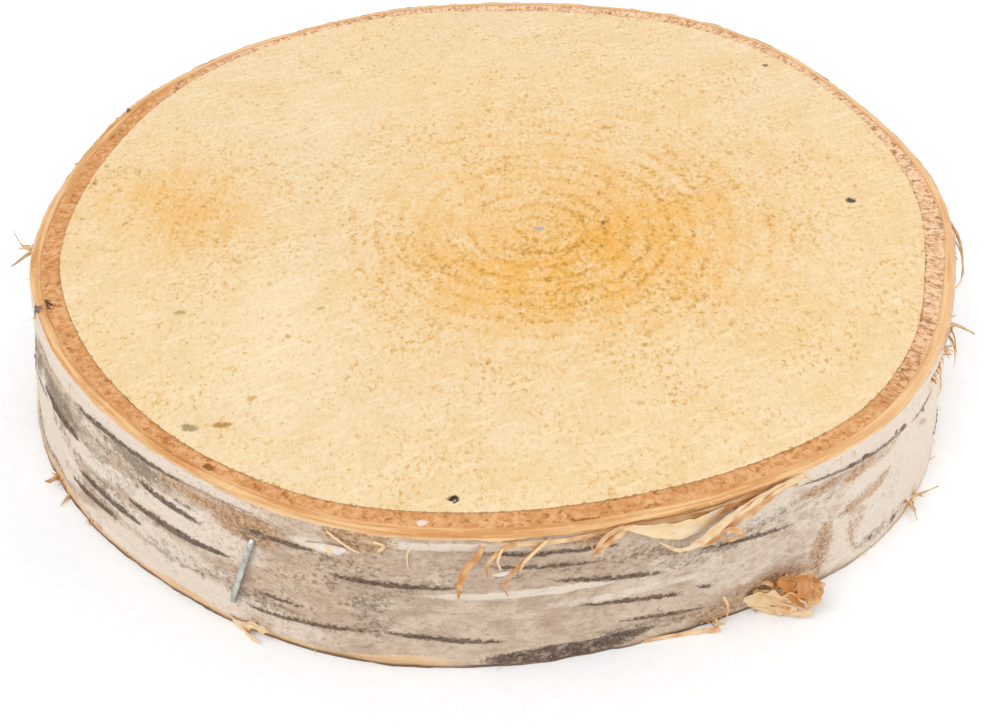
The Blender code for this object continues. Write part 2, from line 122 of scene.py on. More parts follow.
# Torn strips: tint from white (-1) by cream (0) to orange-brown (1), how far the
# sides cup, how ragged they are, then direction, height, distance out, width
STRIPS = {
    "front_strand_left": (0.75, 0.5, 0.1, (
        (-89.2, 21.3, -0.1, 0.56), (-89.5, 20.6, 0.7, 0.62), (-90.6, 18.8, 1.4, 0.81),
        (-91.2, 16.7, 1.5, 0.74), (-91.4, 14.4, 1.1, 0.43), (-91.5, 12.8, 0.7, 0.09))),
    "front_strand_middle": (0.65, 0.5, 0.1, (
        (-85.9, 21.7, -0.1, 0.56), (-87, 21.5, 0.7, 0.5), (-88.2, 20.8, 1.3, 0.43),
        (-88.8, 18.7, 1.4, 0.37), (-88.7, 16.7, 1, 0.09))),
    "front_loop": (0.1, 0.3, 0, (
        (-87.1, 21.6, 0.4, 0.3), (-87.5, 21.3, 1.1, 0.28), (-87.8, 19.8, 1.4, 0.28),
        (-87.4, 17.6, 1, 0.2))),
    "cream_bit": (-0.3, 0.3, 0.2, (
        (-88.3, 17.1, 1, 0.22), (-87.4, 17.6, 1.3, 0.45), (-86.6, 17.8, 1.2, 0.3))),
    "front_strand_right": (0.8, 0.5, 0.1, (
        (-83.2, 21.7, 0, 0.5), (-83.9, 21.2, 0.5, 0.5), (-84.9, 20.4, 1.1, 0.43),
        (-86, 18.7, 1.4, 0.4), (-86.8, 17, 1.4, 0.37), (-87.1, 15.1, 1, 0.31),
        (-86.8, 13.1, 0.7, 0.07))),
    "front_strand_twin": (0.15, 0.4, 0.1, (
        (-82.8, 21.7, 0, 0.43), (-83.4, 21.6, 0.5, 0.37), (-84.4, 21, 1.2, 0.37),
        (-85.4, 19.8, 1.6, 0.34), (-85.8, 17.4, 1.3, 0.07))),
    "bark_vein": (0, 0.3, 0.2, (
        (-95.5, 21.4, 0, 0.24), (-96.2, 19.6, 0.2, 0.2), (-96.2, 17.1, 0.05, 0.14))),
    "shred_left_a": (0.5, 0.4, 0.15, (
        (-75.7, 21.7, 0, 0.8), (-77.5, 21.4, 0.6, 0.8), (-78.3, 20.8, 1.1, 0.6),
        (-78.6, 19.8, 1, 0.12))),
    "shred_left_b": (0.6, 0.4, 0.15, (
        (-75.4, 21.2, 0, 0.7), (-76.9, 20.7, 0.7, 0.7), (-78.1, 19.9, 1.1, 0.5),
        (-79.1, 18.2, 0.8, 0.1))),
    "shred_left_c": (0.2, 0.3, 0.15, (
        (-76.5, 21.5, 0, 0.5), (-77.4, 20.6, 0.6, 0.4), (-77.9, 19.4, 1, 0.3),
        (-78, 18.4, 1.2, 0.1))),
    "broad_peel": (-0.05, 0.12, 0.08, (
        (-63.8, 20.9, 0, 0.8), (-66.5, 20.5, 0.7, 1.9), (-69.5, 20.3, 1.2, 2.5),
        (-72.6, 20.9, 1, 1.9), (-75.6, 21.5, 0.1, 0.6))),
    "long_peel": (0.1, 0.35, 0.08, (
        (-54.6, 20.9, -0.1, 0.8), (-57.8, 21.3, 0.2, 1.1), (-60.9, 21.4, 0.7, 1.2),
        (-63.2, 21.1, 1.1, 1.3), (-65.1, 20.6, 1.5, 1.4), (-66.9, 19.6, 2, 1.5),
        (-68.6, 18.3, 2.2, 1.2), (-69.8, 17.6, 2, 0.6), (-70.8, 17.5, 1.6, 0.4),
        (-72.2, 18.8, 1.2, 0.1))),
    "long_peel_under": (0.65, 0.4, 0.1, (
        (-56.5, 20.4, 0, 0.68), (-58.1, 20.8, 0.1, 0.83), (-60.4, 20.6, 0.7, 0.98),
        (-62.7, 19.6, 1.2, 0.98), (-65.3, 18.5, 1.6, 0.9), (-66.8, 17.2, 1.6, 0.68),
        (-68.5, 16.6, 1.4, 0.15))),
    "long_peel_fold": (0.35, 0.4, 0.1, (
        (-55.6, 21.5, 0, 0.5), (-60, 21.5, 0.4, 0.8), (-63.6, 20.4, 1.2, 0.8),
        (-66.2, 18.9, 1.8, 0.7), (-67.6, 17.8, 1.7, 0.2))),
    "curl_on_peel": (0.5, 0.6, 0.1, (
        (-66, 18, 1.5, 0.7), (-65.5, 19, 2.2, 0.7), (-64.2, 18.4, 2.5, 0.6),
        (-63.6, 16.9, 1.9, 0.5), (-64.6, 16.3, 1.6, 0.4), (-65.6, 17.1, 1.8, 0.2))),
    "rim_fold_a": (0.45, 0.3, 0.2, (
        (-80, 21.5, -0.1, 0.4), (-74, 21.6, 0.3, 0.7), (-68, 21.4, 0.45, 0.8),
        (-62, 21.6, 0.25, 0.7), (-56, 21.5, -0.1, 0.4))),
    "rim_fold_b": (0.85, 0.3, 0.2, (
        (-76, 20.8, -0.1, 0.4), (-71, 21, 0.25, 0.6), (-66, 21, 0.5, 0.7), (-60, 21, 0.2, 0.5),
        (-57, 21, -0.1, 0.3))),
    "rim_fold_c": (0.4, 0.3, 0.2, (
        (-88.5, 21.4, -0.1, 0.4), (-85, 21.5, 0.3, 0.6), (-81, 21.4, 0.35, 0.6),
        (-77, 21.5, -0.1, 0.3))),
    "torn_edge_a": (0.15, 0.3, 0.3, (
        (-103.9, 21.3, 0.05, 0.24), (-102.6, 20.4, 0.3, 0.28), (-101.6, 19.4, 0.4, 0.28),
        (-100.8, 18.9, 0.3, 0.12))),
    "torn_edge_b": (0.1, 0.3, 0.3, (
        (-99.5, 20.9, 0, 0.3), (-98.4, 20.7, 0.3, 0.38), (-98.9, 19.6, 0.3, 0.22))),
    "white_peel": (-0.3, 0.15, 0.08, (
        (-107, 17.9, -0.05, 0.4), (-105, 18.3, 0.15, 0.9), (-103.4, 18.6, 0.3, 1.1),
        (-102.1, 19, 0.4, 0.5))),
    "foot_flap": (0.15, 0.25, 0.45, (
        (-60.6, 2.1, -0.1, 1), (-59.5, 2.3, 0.5, 2.2), (-58.3, 2.4, 1.5, 3),
        (-57.1, 2.3, 2.8, 2.9), (-56.3, 2.1, 4, 2.4))),
    "foot_flap_lower": (0.25, 0.3, 0.5, (
        (-60, 1.2, -0.1, 0.7), (-58.8, 0.9, 1, 1), (-57.4, 0.9, 2.6, 1.2), (-55.9, 0.9, 4.2, 0.9))),
    "foot_flap_fold": (0.45, 0.5, 0.35, (
        (-59.6, 3.2, 0.2, 0.7), (-57.9, 3.3, 1.5, 1.1), (-56.6, 3, 2.8, 1.1),
        (-55.7, 2.7, 3.9, 0.5))),
    "foot_flap_tip": (-0.1, 0.4, 0.5, (
        (-57.6, 1.7, 2.2, 0.8), (-56.4, 1.5, 3.6, 1.2), (-55.3, 1.4, 4.8, 0.9))),
    "foot_chip": (0.7, 0.9, 0.5, (
        (-55.4, 2.4, 4.7, 0.9), (-55.5, 3.6, 4.5, 2.2), (-55.7, 4.8, 3.9, 2.7),
        (-56.1, 5.6, 2.8, 2.2), (-56.6, 5.4, 1.8, 1.2))),
    "foot_chip_side": (1.3, 0.7, 0.3, (
        (-57.2, 4.9, 1, 0.8), (-56.6, 4.4, 2.2, 1.4), (-56.2, 3.6, 3.2, 1.4),
        (-55.9, 2.8, 3.8, 0.7))),
    "foot_chip_roll": (0.55, 0.9, 0.3, (
        (-55, 3, 4.4, 0.7), (-54.8, 4, 4.5, 1.4), (-54.8, 5, 4.1, 1.5), (-55, 5.8, 3.3, 0.8))),
    "foot_shard_a": (0.55, 0.4, 0.4, (
        (-59.4, 3.5, 0.3, 0.5), (-58, 2.9, 1.8, 0.9), (-56.7, 1.7, 3.2, 0.7), (-55.8, 1, 3.9, 0.1))),
    "foot_shard_b": (-0.1, 0.3, 0.4, (
        (-58.8, 1.2, 0.7, 0.5), (-57.3, 1, 2.3, 1), (-56, 1.4, 3.7, 0.8), (-55.1, 2.1, 4.7, 0.1))),
    "foot_shard_c": (0.9, 0.4, 0.4, (
        (-58.2, 3.6, 1.4, 0.4), (-57, 3.4, 2.9, 0.7), (-56.2, 2.6, 3.9, 0.6),
        (-55.8, 1.8, 4.4, 0.1))),
    "foot_bit_a": (0.8, 0.5, 0.3, (
        (-58, 3.6, 0, 0.6), (-57.2, 4, 0.8, 1.1), (-56.6, 3.8, 1.6, 0.5))),
    "foot_bit_b": (0.6, 0.5, 0.3, (
        (-58.8, 4.2, 0, 0.4), (-58.2, 4.4, 0.6, 0.7), (-57.8, 4, 1, 0.3))),
    "foot_peel": (0.4, 0.35, 0.5, (
        (-73, 0.5, -0.05, 0.5), (-70, 0.5, 0.3, 0.6), (-67.5, 0.6, 0.7, 0.7),
        (-65.8, 0.7, 1.2, 0.9), (-64.4, 1, 1.7, 1))),
    "foot_strand": (0.5, 0.3, 0.1, (
        (-63.3, 4.2, -0.1, 0.3), (-63.1, 3.3, 0.8, 0.28), (-63.3, 2.2, 1.3, 0.25),
        (-63.9, 1.1, 1.6, 0.1))),
    "foot_fork_a": (0.45, 0.4, 0.2, (
        (-148.2, 0.6, -0.1, 0.7), (-147.4, 1.2, 1.4, 0.5), (-146.3, 2.6, 2.8, 0.1))),
    "foot_fork_b": (0.3, 0.4, 0.2, (
        (-144.6, 0.4, -0.1, 0.6), (-144, 0.5, 0.9, 0.5), (-143.6, 0.4, 1.8, 0.1))),
    "foot_fluff_a": (0, 0.3, 0.5, (
        (-116.4, 0.6, -0.1, 0.9), (-114.9, 1.1, 0.5, 1.5), (-113.2, 1.8, 0.9, 1.6),
        (-111.4, 2.3, 1.2, 0.9))),
    "foot_fluff_b": (0.15, 0.3, 0.5, (
        (-115.6, 0.4, 0, 0.6), (-114, 0.5, 0.9, 0.9), (-112.2, 0.5, 1.6, 0.6))),
    "left_fork_upper": (0.6, 0.4, 0.2, (
        (-174.6, 18.8, -0.1, 0.9), (-173.6, 18.7, 1.4, 0.9), (-174.4, 18.8, 3.2, 0.7),
        (-176.4, 19.8, 4.8, 0.15))),
    "left_fork_lower": (0.4, 0.4, 0.2, (
        (-174, 18.6, -0.1, 0.8), (-173, 18.3, 1.4, 0.7), (-171.4, 17.4, 4, 0.15))),
    "left_fork_thin": (0.2, 0.3, 0.1, (
        (-173.8, 19, -0.1, 0.4), (-173, 19.2, 1.6, 0.3), (-172.6, 19.4, 3, 0.1))),
    "right_loop": (0.45, 0.4, 0.2, (
        (-2, 21.2, -0.1, 0.6), (-5, 20.9, 0.7, 0.8), (-9, 20.4, 1.1, 0.8), (-12.5, 19.6, 1.1, 0.6),
        (-14, 19.2, 0.3, 0.2))),
    "right_loop_thin": (0.2, 0.3, 0.1, (
        (-4, 20.6, 0, 0.3), (-7, 19.8, 1.2, 0.3), (-10.5, 18.8, 1.7, 0.2), (-13, 18.6, 1, 0.1))),
    "right_fibre": (0.15, 0.3, 0.1, (
        (-13.4, 13.2, -0.1, 0.4), (-14.6, 13.8, 1.8, 0.35), (-17, 15, 3.8, 0.1))),
    "right_shred_a": (0.55, 0.4, 0.3, (
        (-20.4, 18.8, -0.1, 0.8), (-21.4, 17.6, 0.9, 0.8), (-22.2, 15.4, 1.6, 0.2))),
    "right_shred_b": (0.7, 0.4, 0.3, (
        (-25, 20.8, -0.1, 0.6), (-26, 20.2, 1, 0.6), (-27.2, 19.2, 1.8, 0.4),
        (-27.8, 18.4, 1.9, 0.1))),
    "right_shred_c": (0.3, 0.4, 0.3, (
        (-30, 20.6, -0.1, 0.6), (-31, 19.4, 0.9, 0.7), (-31.6, 17.8, 1.3, 0.5),
        (-31.4, 16.4, 0.9, 0.1))),
    "foot_fibre_right": (0.5, 0.4, 0.2, (
        (-34, 1.3, -0.1, 0.6), (-32.8, 1.6, 1.3, 0.5), (-31.4, 2.2, 3, 0.1))),
    "foot_fibre_low": (0.35, 0.4, 0.2, (
        (-34.6, 0.9, -0.1, 0.6), (-35.2, 0.7, 1.2, 0.45), (-36.2, 0.5, 2.2, 0.1))),
    "back_peel_right": (0.2, 0.3, 0.15, (
        (58, 19.8, -0.1, 1.6), (61.6, 19.2, 0.7, 2.6), (65, 17.6, 1.5, 2), (67.6, 15.4, 1.8, 0.3))),
    "back_shred": (0.5, 0.4, 0.15, (
        (104, 20.6, -0.1, 0.9), (105.6, 18.8, 0.9, 1.2), (106.2, 16.4, 1.4, 0.3))),
    "back_foot_peel": (0.3, 0.3, 0.35, (
        (137, 1.4, -0.1, 1.2), (140.6, 1.3, 0.6, 1.8), (144, 1.2, 1.6, 0.6))),
}

# Tufts of short torn fibres: direction, height, how many, how long
TUFTS = (
    (-26.8, 19.8, 8, 1.9), (-30.6, 19.4, 9, 1.7), (-33.8, 1.4, 7, 2), (-21.5, 18.6, 5, 1.4),
    (-55.8, 3.4, 6, 2.6), (-58.5, 1.6, 7, 1.6), (-64.6, 0.9, 9, 1.7), (-113.5, 1.3, 8, 1.3),
    (-146.8, 0.9, 6, 1.4), (-138, 0.8, 5, 0.9), (-131, 0.7, 5, 0.8), (153, 21.3, 10, 1.2),
    (157.5, 21.5, 8, 1), (147, 21.4, 6, 0.9), (-78.4, 20.4, 6, 1.3), (-64.4, 19.4, 4, 1.8),
    (-173.6, 18.8, 6, 1.8), (-15.5, 14.2, 4, 2.2), (-8, 20.4, 5, 1.2), (64, 18.6, 6, 1.4),
    (105, 19.8, 6, 1.2), (140, 1.2, 6, 1.3), (-85.6, 20.6, 4, 1.6), (170, 21.3, 5, 0.8),
)

# Single loose fibres: how many, from which directions, how long
FIBRES = 90
FIBRE_FRONT = (-185.0, 30.0)
FIBRE_BACK = (30.0, 175.0)
FIBRE_LENGTHS = (0.4, 1.5)
FIBRE_SIDES = 5
FIBRE_STEPS = 4

# Wire staple, as in the solids
STAPLE_TOP = (-112.3, 15.9)
STAPLE_FOOT = (-115.9, 3.7)
STAPLE_CROWN = 12.9
STAPLE_WIRE_WIDTH = 0.7
STAPLE_WIRE_THICKNESS = 0.5
STAPLE_LEG = 5.2
STAPLE_POINT = 0.7
STAPLE_BEND = 0.55
STAPLE_SIDES = 16

# How finely the pieces are divided
WOOD_SEGMENTS = 360
WOOD_LOOPS = 60
RING_SEGMENTS = 1080
RING_LOOPS = 12
SKIN_SEGMENTS = 1080
SKIN_LOOPS = 8
WALL_ROWS = 60
SEAM = 0.15
STRIP_STEPS = 6
STRIP_ACROSS = 4
STRIP_THICKNESS = 0.14

# Golden stain in the wood, and a pale band left of it, which is negative:
# middle x, y, half width, half depth, strength
STAINS = (
    (14, -1, 36, 30, 0.42), (6, -17, 19, 11, 0.48), (5, -23, 9, 6, 0.15), (-25, -6, 10, 34, -0.22),
    (21, -11, 14, 12, 0.34), (28, 3, 11, 9, 0.18), (-41.9, -4, 14, 12, 0.42),
    (-47.9, 4, 9, 8, 0.25),
)

# Specks on the sawn face: x, y, half width, half depth, turn, colour, strength
SPECKS = (
    (-2.5, -61.5, 0.72, 0.6, 0, "#2b2718", 1), (53, 2.1, 0.85, 0.8, 20, "#4b4538", 1),
    (46.1, 44.2, 0.55, 0.6, 0, "#5a5342", 0.9), (-34.2, -49.9, 1.25, 0.7, -12, "#94815c", 0.9),
    (-30.5, -49.3, 1.5, 0.55, 4, "#a8742f", 0.9), (-39.6, -26.9, 1, 0.6, 0, "#a1904f", 0.8),
    (-57.9, 4.8, 0.5, 0.5, 0, "#8a6a3a", 0.7), (19.6, -44.3, 0.8, 0.45, 10, "#c2a263", 0.7),
    (36.9, 15.4, 0.7, 0.7, 0, "#b99a5a", 0.7), (16.7, -4.4, 0.5, 0.5, 0, "#6b5230", 0.8),
    (-21.3, -25.7, 0.5, 0.4, 0, "#a87f3a", 0.7), (-24.8, -31.8, 0.6, 0.45, 0, "#b0883f", 0.7),
    (-27.7, -44.3, 0.6, 0.7, 0, "#b58c45", 0.7), (-57.2, 9.7, 0.45, 0.5, 0, "#b08a4a", 0.7),
    (-57.5, -4.9, 0.4, 0.5, 0, "#a5803f", 0.7), (26.3, -9.4, 0.6, 0.6, 0, "#f3dcae", 0.6),
    (17.5, -20.5, 0.6, 0.7, 0, "#ecd09a", 0.35), (7.7, -6.1, 0.75, 0.75, 0, "#ad9a8f", 0.9),
)
SPECK_DEPTH = 3.0

# Specks on the inner bark: x, y, half width, half depth, colour
BARK_SPECKS = (
    (-5.8, -65.3, 0.65, 0.5, "#e6d6cd"), (13, -64.6, 2.6, 0.45, "#8f5a35"),
    (-58, -25.8, 1.3, 1.6, "#4a2c22"), (-57.2, 27, 1, 0.8, "#6a4a44"),
    (-31, -56.8, 0.8, 0.7, "#8a5027"), (-44.5, -47, 0.5, 0.45, "#9a5b2c"),
)

# Patches on the wall: direction, height, half length, half height, strength
PATCHES = {
    "white": (
        (-150, 20.4, 30, 1.6, 1), (-127, 20.9, 12, 0.9, 0.9), (-124, 2.2, 15, 1.3, 0.7),
        (-104.8, 18.2, 2.4, 0.6, 1), (-172, 18.5, 14, 3, 0.8), (-146.5, 6.5, 5, 3.2, 0.7),
        (-121, 3.4, 13, 1.5, 0.8), (-84.5, 12.5, 8, 0.42, 0.95), (-74, 9.9, 9, 0.6, 0.6),
        (-92, 20.7, 9, 0.5, 0.8), (-64, 12, 10, 3.2, 0.45), (-57, 8, 9, 3, 0.5),
        (-44, 20.2, 13, 1.6, 1), (-34, 13, 12, 6, 1), (-32, 6, 13, 6, 1), (-45, 6, 7, 5, 0.7),
        (-56, 12, 8, 6, 0.5), (-62, 17.6, 5, 1.8, 0.7), (-106, 19.6, 5, 0.6, 0.5),
        (-139, 11.2, 5, 1.2, 0.8), (-130, 12.4, 5, 1, 0.8), (-127, 7.6, 9, 1.5, 0.7),
        (-152, 8, 6, 4, 0.8), (-119.5, 13.2, 7, 2.4, 0.75), (-138, 16.6, 4, 0.8, 0.6),
        (-121, 15.6, 3, 0.9, 0.5), (-14, 12, 16, 8, 0.7), (20, 12, 26, 8, 0.5),
        (70, 8, 18, 6, 0.5), (118, 15, 20, 5, 0.5), (160, 9, 18, 8, 0.5)),
    "brown": (
        (-75, 15.4, 6, 1.4, 0.3), (-100.8, 20.7, 2.7, 1.3, 1), (-101, 18, 2, 2.2, 0.5),
        (-117.5, 18.8, 6.5, 1.1, 0.8), (-113, 17.2, 3.4, 1.6, 0.9), (-109.5, 12, 8, 7, 0.33),
        (-51.2, 5.9, 1.1, 2.9, 1), (-44, 16.9, 2.6, 1, 0.6), (-46.4, 8.6, 1.2, 2.6, 0.6),
        (-40, 10, 2, 3, 0.3), (-78, 20.4, 3, 0.7, 0.7), (-57.5, 3.4, 4, 1.6, 0.8),
        (-62.5, 2.2, 4, 0.8, 0.6), (85, 14, 6, 4, 0.4), (150, 16, 8, 3, 0.4)),
    "dark": (
        (-75, 15.6, 6, 1, 0.45), (-141, 15.6, 4, 1.4, 0.5), (-133.5, 12, 4, 1.2, 0.42),
        (-126, 9.4, 5, 1, 0.4), (-146, 10.6, 3, 1.4, 0.5), (-153, 17.2, 3, 1, 0.5),
        (-100.2, 9.6, 1.8, 4.4, 0.55), (-100, 12.6, 4, 1.6, 0.45), (-102.5, 16, 4, 1, 0.4),
        (-66, 13.6, 5, 1, 0.5), (-147, 14, 5, 1.5, 0.9), (-134, 14.8, 6, 2.6, 0.45),
        (-128.5, 17.4, 4, 1.1, 0.8), (-136, 9, 7, 1.2, 0.5), (-160, 13.5, 5, 2.4, 0.7),
        (-139, 5.6, 6, 0.9, 0.5), (-113, 5.6, 3.4, 1.2, 0.5), (-121, 7, 9, 1.4, 0.45),
        (-112.6, 16.4, 1.4, 0.9, 0.55), (-40.5, 2, 4, 0.7, 0.6), (-71, 3, 6, 1, 0.5),
        (-90, 16, 14, 2, 0.3), (-60, 15.6, 4, 1, 0.5), (40, 5, 9, 1.6, 0.5), (100, 6, 10, 2, 0.5),
        (175, 5, 8, 2, 0.5)),
    "black": (
        (-81.5, 1.4, 6, 0.85, 0.9), (-76, 2, 4, 0.6, 0.8), (-51, 6.2, 0.5, 2, 0.45),
        (-41.5, 18.5, 0.35, 0.3, 0.9), (-47, 18.5, 0.5, 0.35, 0.9), (-39.8, 17.8, 0.5, 0.35, 1),
        (-49.2, 18.8, 0.45, 0.35, 0.9), (-34.3, 16.3, 0.35, 0.3, 0.9),
        (-111.8, 16.9, 0.8, 0.5, 0.9), (-156, 21.7, 0.8, 0.9, 0.8), (154.7, 21.8, 0.45, 0.5, 0.65),
        (-166, 20.9, 0.8, 0.7, 0.75), (-163.2, 20.3, 1.5, 0.3, 0.75), (-43, 2, 0.5, 0.3, 0.75),
        (-38.6, 1.6, 0.6, 0.3, 0.8)),
}
SKIN_MASKS = (*PATCHES, "lenticel", "lip", "foot", "right_side")

# Brown streaks across the wall: from direction and height, to direction and height, how tall
STREAKS = (
    (-49, 10.6, -41.4, 12.4, 2.4), (-49.5, 16.2, -45, 17.4, 2.2), (-47.6, 8.6, -46, 2.8, 2.2),
    (-36, 15.6, -31.5, 12, 0.7), (-122, 19.4, -113, 17.2, 0.8), (-55.5, 16.8, -50.5, 17.2, 1.6),
)

# Soft lights in metres and watts: name, place, width, power
LAMPS = (
    ("softbox_front_left", (-0.35, -0.45, 0.8), 0.7, 4.2),
    ("softbox_back", (0.25, 0.6, 0.6), 0.6, 1.4),
    ("softbox_right", (0.45, -0.12, 0.2), 0.3, 0.55),
)
SKY_STRENGTH = 0.8

# Lens, place, aim and roll that give the photo's outline of the slice
CAMERA_LENS = 53.45
CAMERA_SENSOR = 36.0
CAMERA_PLACE = Vector((4.07, -183.17, 138.26)) * MM
CAMERA_AIM = Vector((2.40, -9.30, 0.0)) * MM
CAMERA_ROLL = 0.24

# Setting of a Map Range node that rises smoothly, level at both ends
SMOOTH = {"interpolation_type": "SMOOTHSTEP"}


@functools.lru_cache(maxsize=None)
def around(values, degrees):
    """Read values spaced evenly round the slice, on a smooth closed curve."""
    place = degrees * len(values) / 360.0
    first = math.floor(place)
    near = (values[(first + step) % len(values)] for step in (-1, 0, 1, 2))
    return curve(place - first, *near)


def curve(t, a, b, c, d):
    """Number a share t of the way from b to c, on a smooth curve through a, b, c and d."""
    return b + 0.5 * t * (c - a + t * (2 * a - 5 * b + 4 * c - d + t * (3 * (b - c) + d - a)))


def smooth_step(low, high, value):
    """Rise from 0 to 1 between two values, level at both ends."""
    t = min(max((value - low) / (high - low), 0.0), 1.0)
    return t * t * (3.0 - 2.0 * t)


def outward(degrees):
    """Level direction that points out of the slice."""
    angle = math.radians(degrees)
    return Vector((math.cos(angle), math.sin(angle), 0.0))


def at(degrees, radius, height):
    """Point at a direction, a distance from the log's axis and a height."""
    point = outward(degrees) * radius
    point.z = height
    return point


def wood_radius(degrees, height):
    """Edge of the wood."""
    reach = around(UNDERSIDE_REACH, degrees) * (1.0 - height / THICKNESS)
    return WOOD_RADIUS + around(WOOD_OFFSETS, degrees) + reach


def inner_bark_outside(degrees, height):
    """Where the inner bark meets the outer bark, with the seam closed."""
    layers = around(BARK_THICKNESS, degrees) - around(OUTER_THICKNESS, degrees)
    return wood_radius(degrees, height) + layers - SEAM


def wall_radius(degrees, height):
    """Face of the outer bark, with a lip at each sawn edge and low bumps between."""
    radius = wood_radius(degrees, height) + around(BARK_THICKNESS, degrees)
    place = outward(degrees) * (radius / BUMP_WIDTH)
    place.z = height / BUMP_WIDTH
    top = THICKNESS - TOP_LIP
    between = (smooth_step(UNDERSIDE_LIP, UNDERSIDE_LIP + 1.0, height)
               * (1.0 - smooth_step(top - 1.2, top + 0.4, height)))
    return radius + between * (BUMP_HEIGHT * noise.noise(place) - LIP_SET_BACK)


def on_wall(degrees, height, out=0.0):
    """Point at a distance out from the face of the outer bark."""
    return at(degrees, wall_radius(degrees, height) + out, height)


def inside_box(point):
    """Keep a point inside the solids' box, a hair inside its sides."""
    room = (0.01, 0.01, 0.0)
    return Vector([min(max(value, low / MM + spare), high / MM - spare)
                   for value, low, high, spare in zip(point, *CAD_BOX, room)])


def turns_between(degrees, other):
    """Signed difference of two directions, in degrees."""
    return (degrees - other + 180.0) % 360.0 - 180.0


def hex_colour(code):
    """Linear colour of an sRGB hex value."""
    parts = [int(code[start:start + 2], 16) / 255.0 for start in (1, 3, 5)]
    linear = [part / 12.92 if part <= 0.04045 else ((part + 0.055) / 1.055) ** 2.4
              for part in parts]
    return (*linear, 1.0)


def direction(vert):
    """Direction of a vertex from the log's axis, in degrees."""
    return round(math.degrees(math.atan2(vert.co.y, vert.co.x)), 3)


def right_side(degrees, start):
    """0 at the front and the left of the slice, 1 at the right and the back."""
    return smooth_step(start, start + 30.0, degrees) * (1.0 - smooth_step(125.0, 155.0, degrees))


def link_object(name, mesh, material):
    """Object for a finished mesh, in the scene."""
    mesh.materials.append(material)
    made = bpy.data.objects.new(name, mesh)
    bpy.context.scene.collection.objects.link(made)
    return made


def finish_piece(bm, name, material, nodes=()):
    """Turn a mesh made in millimetres into a piece that rides on the slice."""
    for vert in bm.verts:
        vert.co = inside_box(vert.co)
    bmesh.ops.scale(bm, vec=(MM, MM, MM), verts=bm.verts)
    mesh = bpy.data.meshes.new(name)
    bm.to_mesh(mesh)
    bm.free()
    mesh.shade_smooth()
    mesh.set_sharp_from_angle(angle=math.radians(50.0))
    piece = link_object(name, mesh, material)
    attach(piece, BODY)
    if nodes:
        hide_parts(*nodes)


def plug(tree, node, inputs):
    """Set each input to a value, or link it when it is given a socket. A hex value
    becomes a colour."""
    for key, value in inputs.items():
        if isinstance(value, bpy.types.NodeSocket):
            tree.links.new(value, node.inputs[key])
        else:
            node.inputs[key].default_value = hex_colour(value) if isinstance(value, str) else value


def add_node(tree, kind, inputs, out=0, **settings):
    """Add a node with its settings and inputs. Returns one of its outputs."""
    node = tree.nodes.new("ShaderNode" + kind)
    for name, value in settings.items():
        setattr(node, name, value)
    plug(tree, node, inputs)
    return node.outputs[out]


def new_material(name):
    """New material, what adds nodes to it, and the place on the slice."""
    material = bpy.data.materials.new(name)
    material.use_nodes = True
    add = functools.partial(add_node, material.node_tree)
    return material, add, add("TexCoord", {}, 3)


def dress(material, inputs):
    """Set or link the inputs of a material's shader."""
    plug(material.node_tree, material.node_tree.nodes["Principled BSDF"], inputs)
    return material


def grain(add, place, sizes, turn=0.0, detail=3.0, roughness=0.55, offset=0.0):
    """Noise whose cells have a size in millimetres along each axis."""
    mapped = add("Mapping", {
        "Vector": place, "Rotation": (0.0, 0.0, math.radians(turn)),
        "Scale": [size * MM for size in sizes], "Location": [offset * MM] * 3},
        vector_type="TEXTURE")
    return add("TexNoise", {
        "Vector": mapped, "Scale": 1.0, "Detail": detail, "Roughness": roughness})


def lay(add, under, over, mask, low=None, high=None, most=1.0):
    """Lay a colour over another by a mask, which may first be made to rise from low to high."""
    if low is not None:
        mask = add("MapRange", {0: mask, 1: low, 2: high, 4: most}, **SMOOTH)
    return add("Mix", {0: mask, 6: under, 7: over}, 2, data_type="RGBA")


def from_speck(add, place, x, y, wide, deep, turn=0.0):
    """Distance from the middle of a speck on the sawn face, 1 at its edge."""
    local = add("Mapping", {
        "Vector": place, "Location": (x * MM, y * MM, THICKNESS * MM),
        "Rotation": (0.0, 0.0, math.radians(turn)),
        "Scale": (wide * MM, deep * MM, SPECK_DEPTH * MM)}, vector_type="TEXTURE")
    return add("VectorMath", {0: local}, 1, operation="LENGTH")


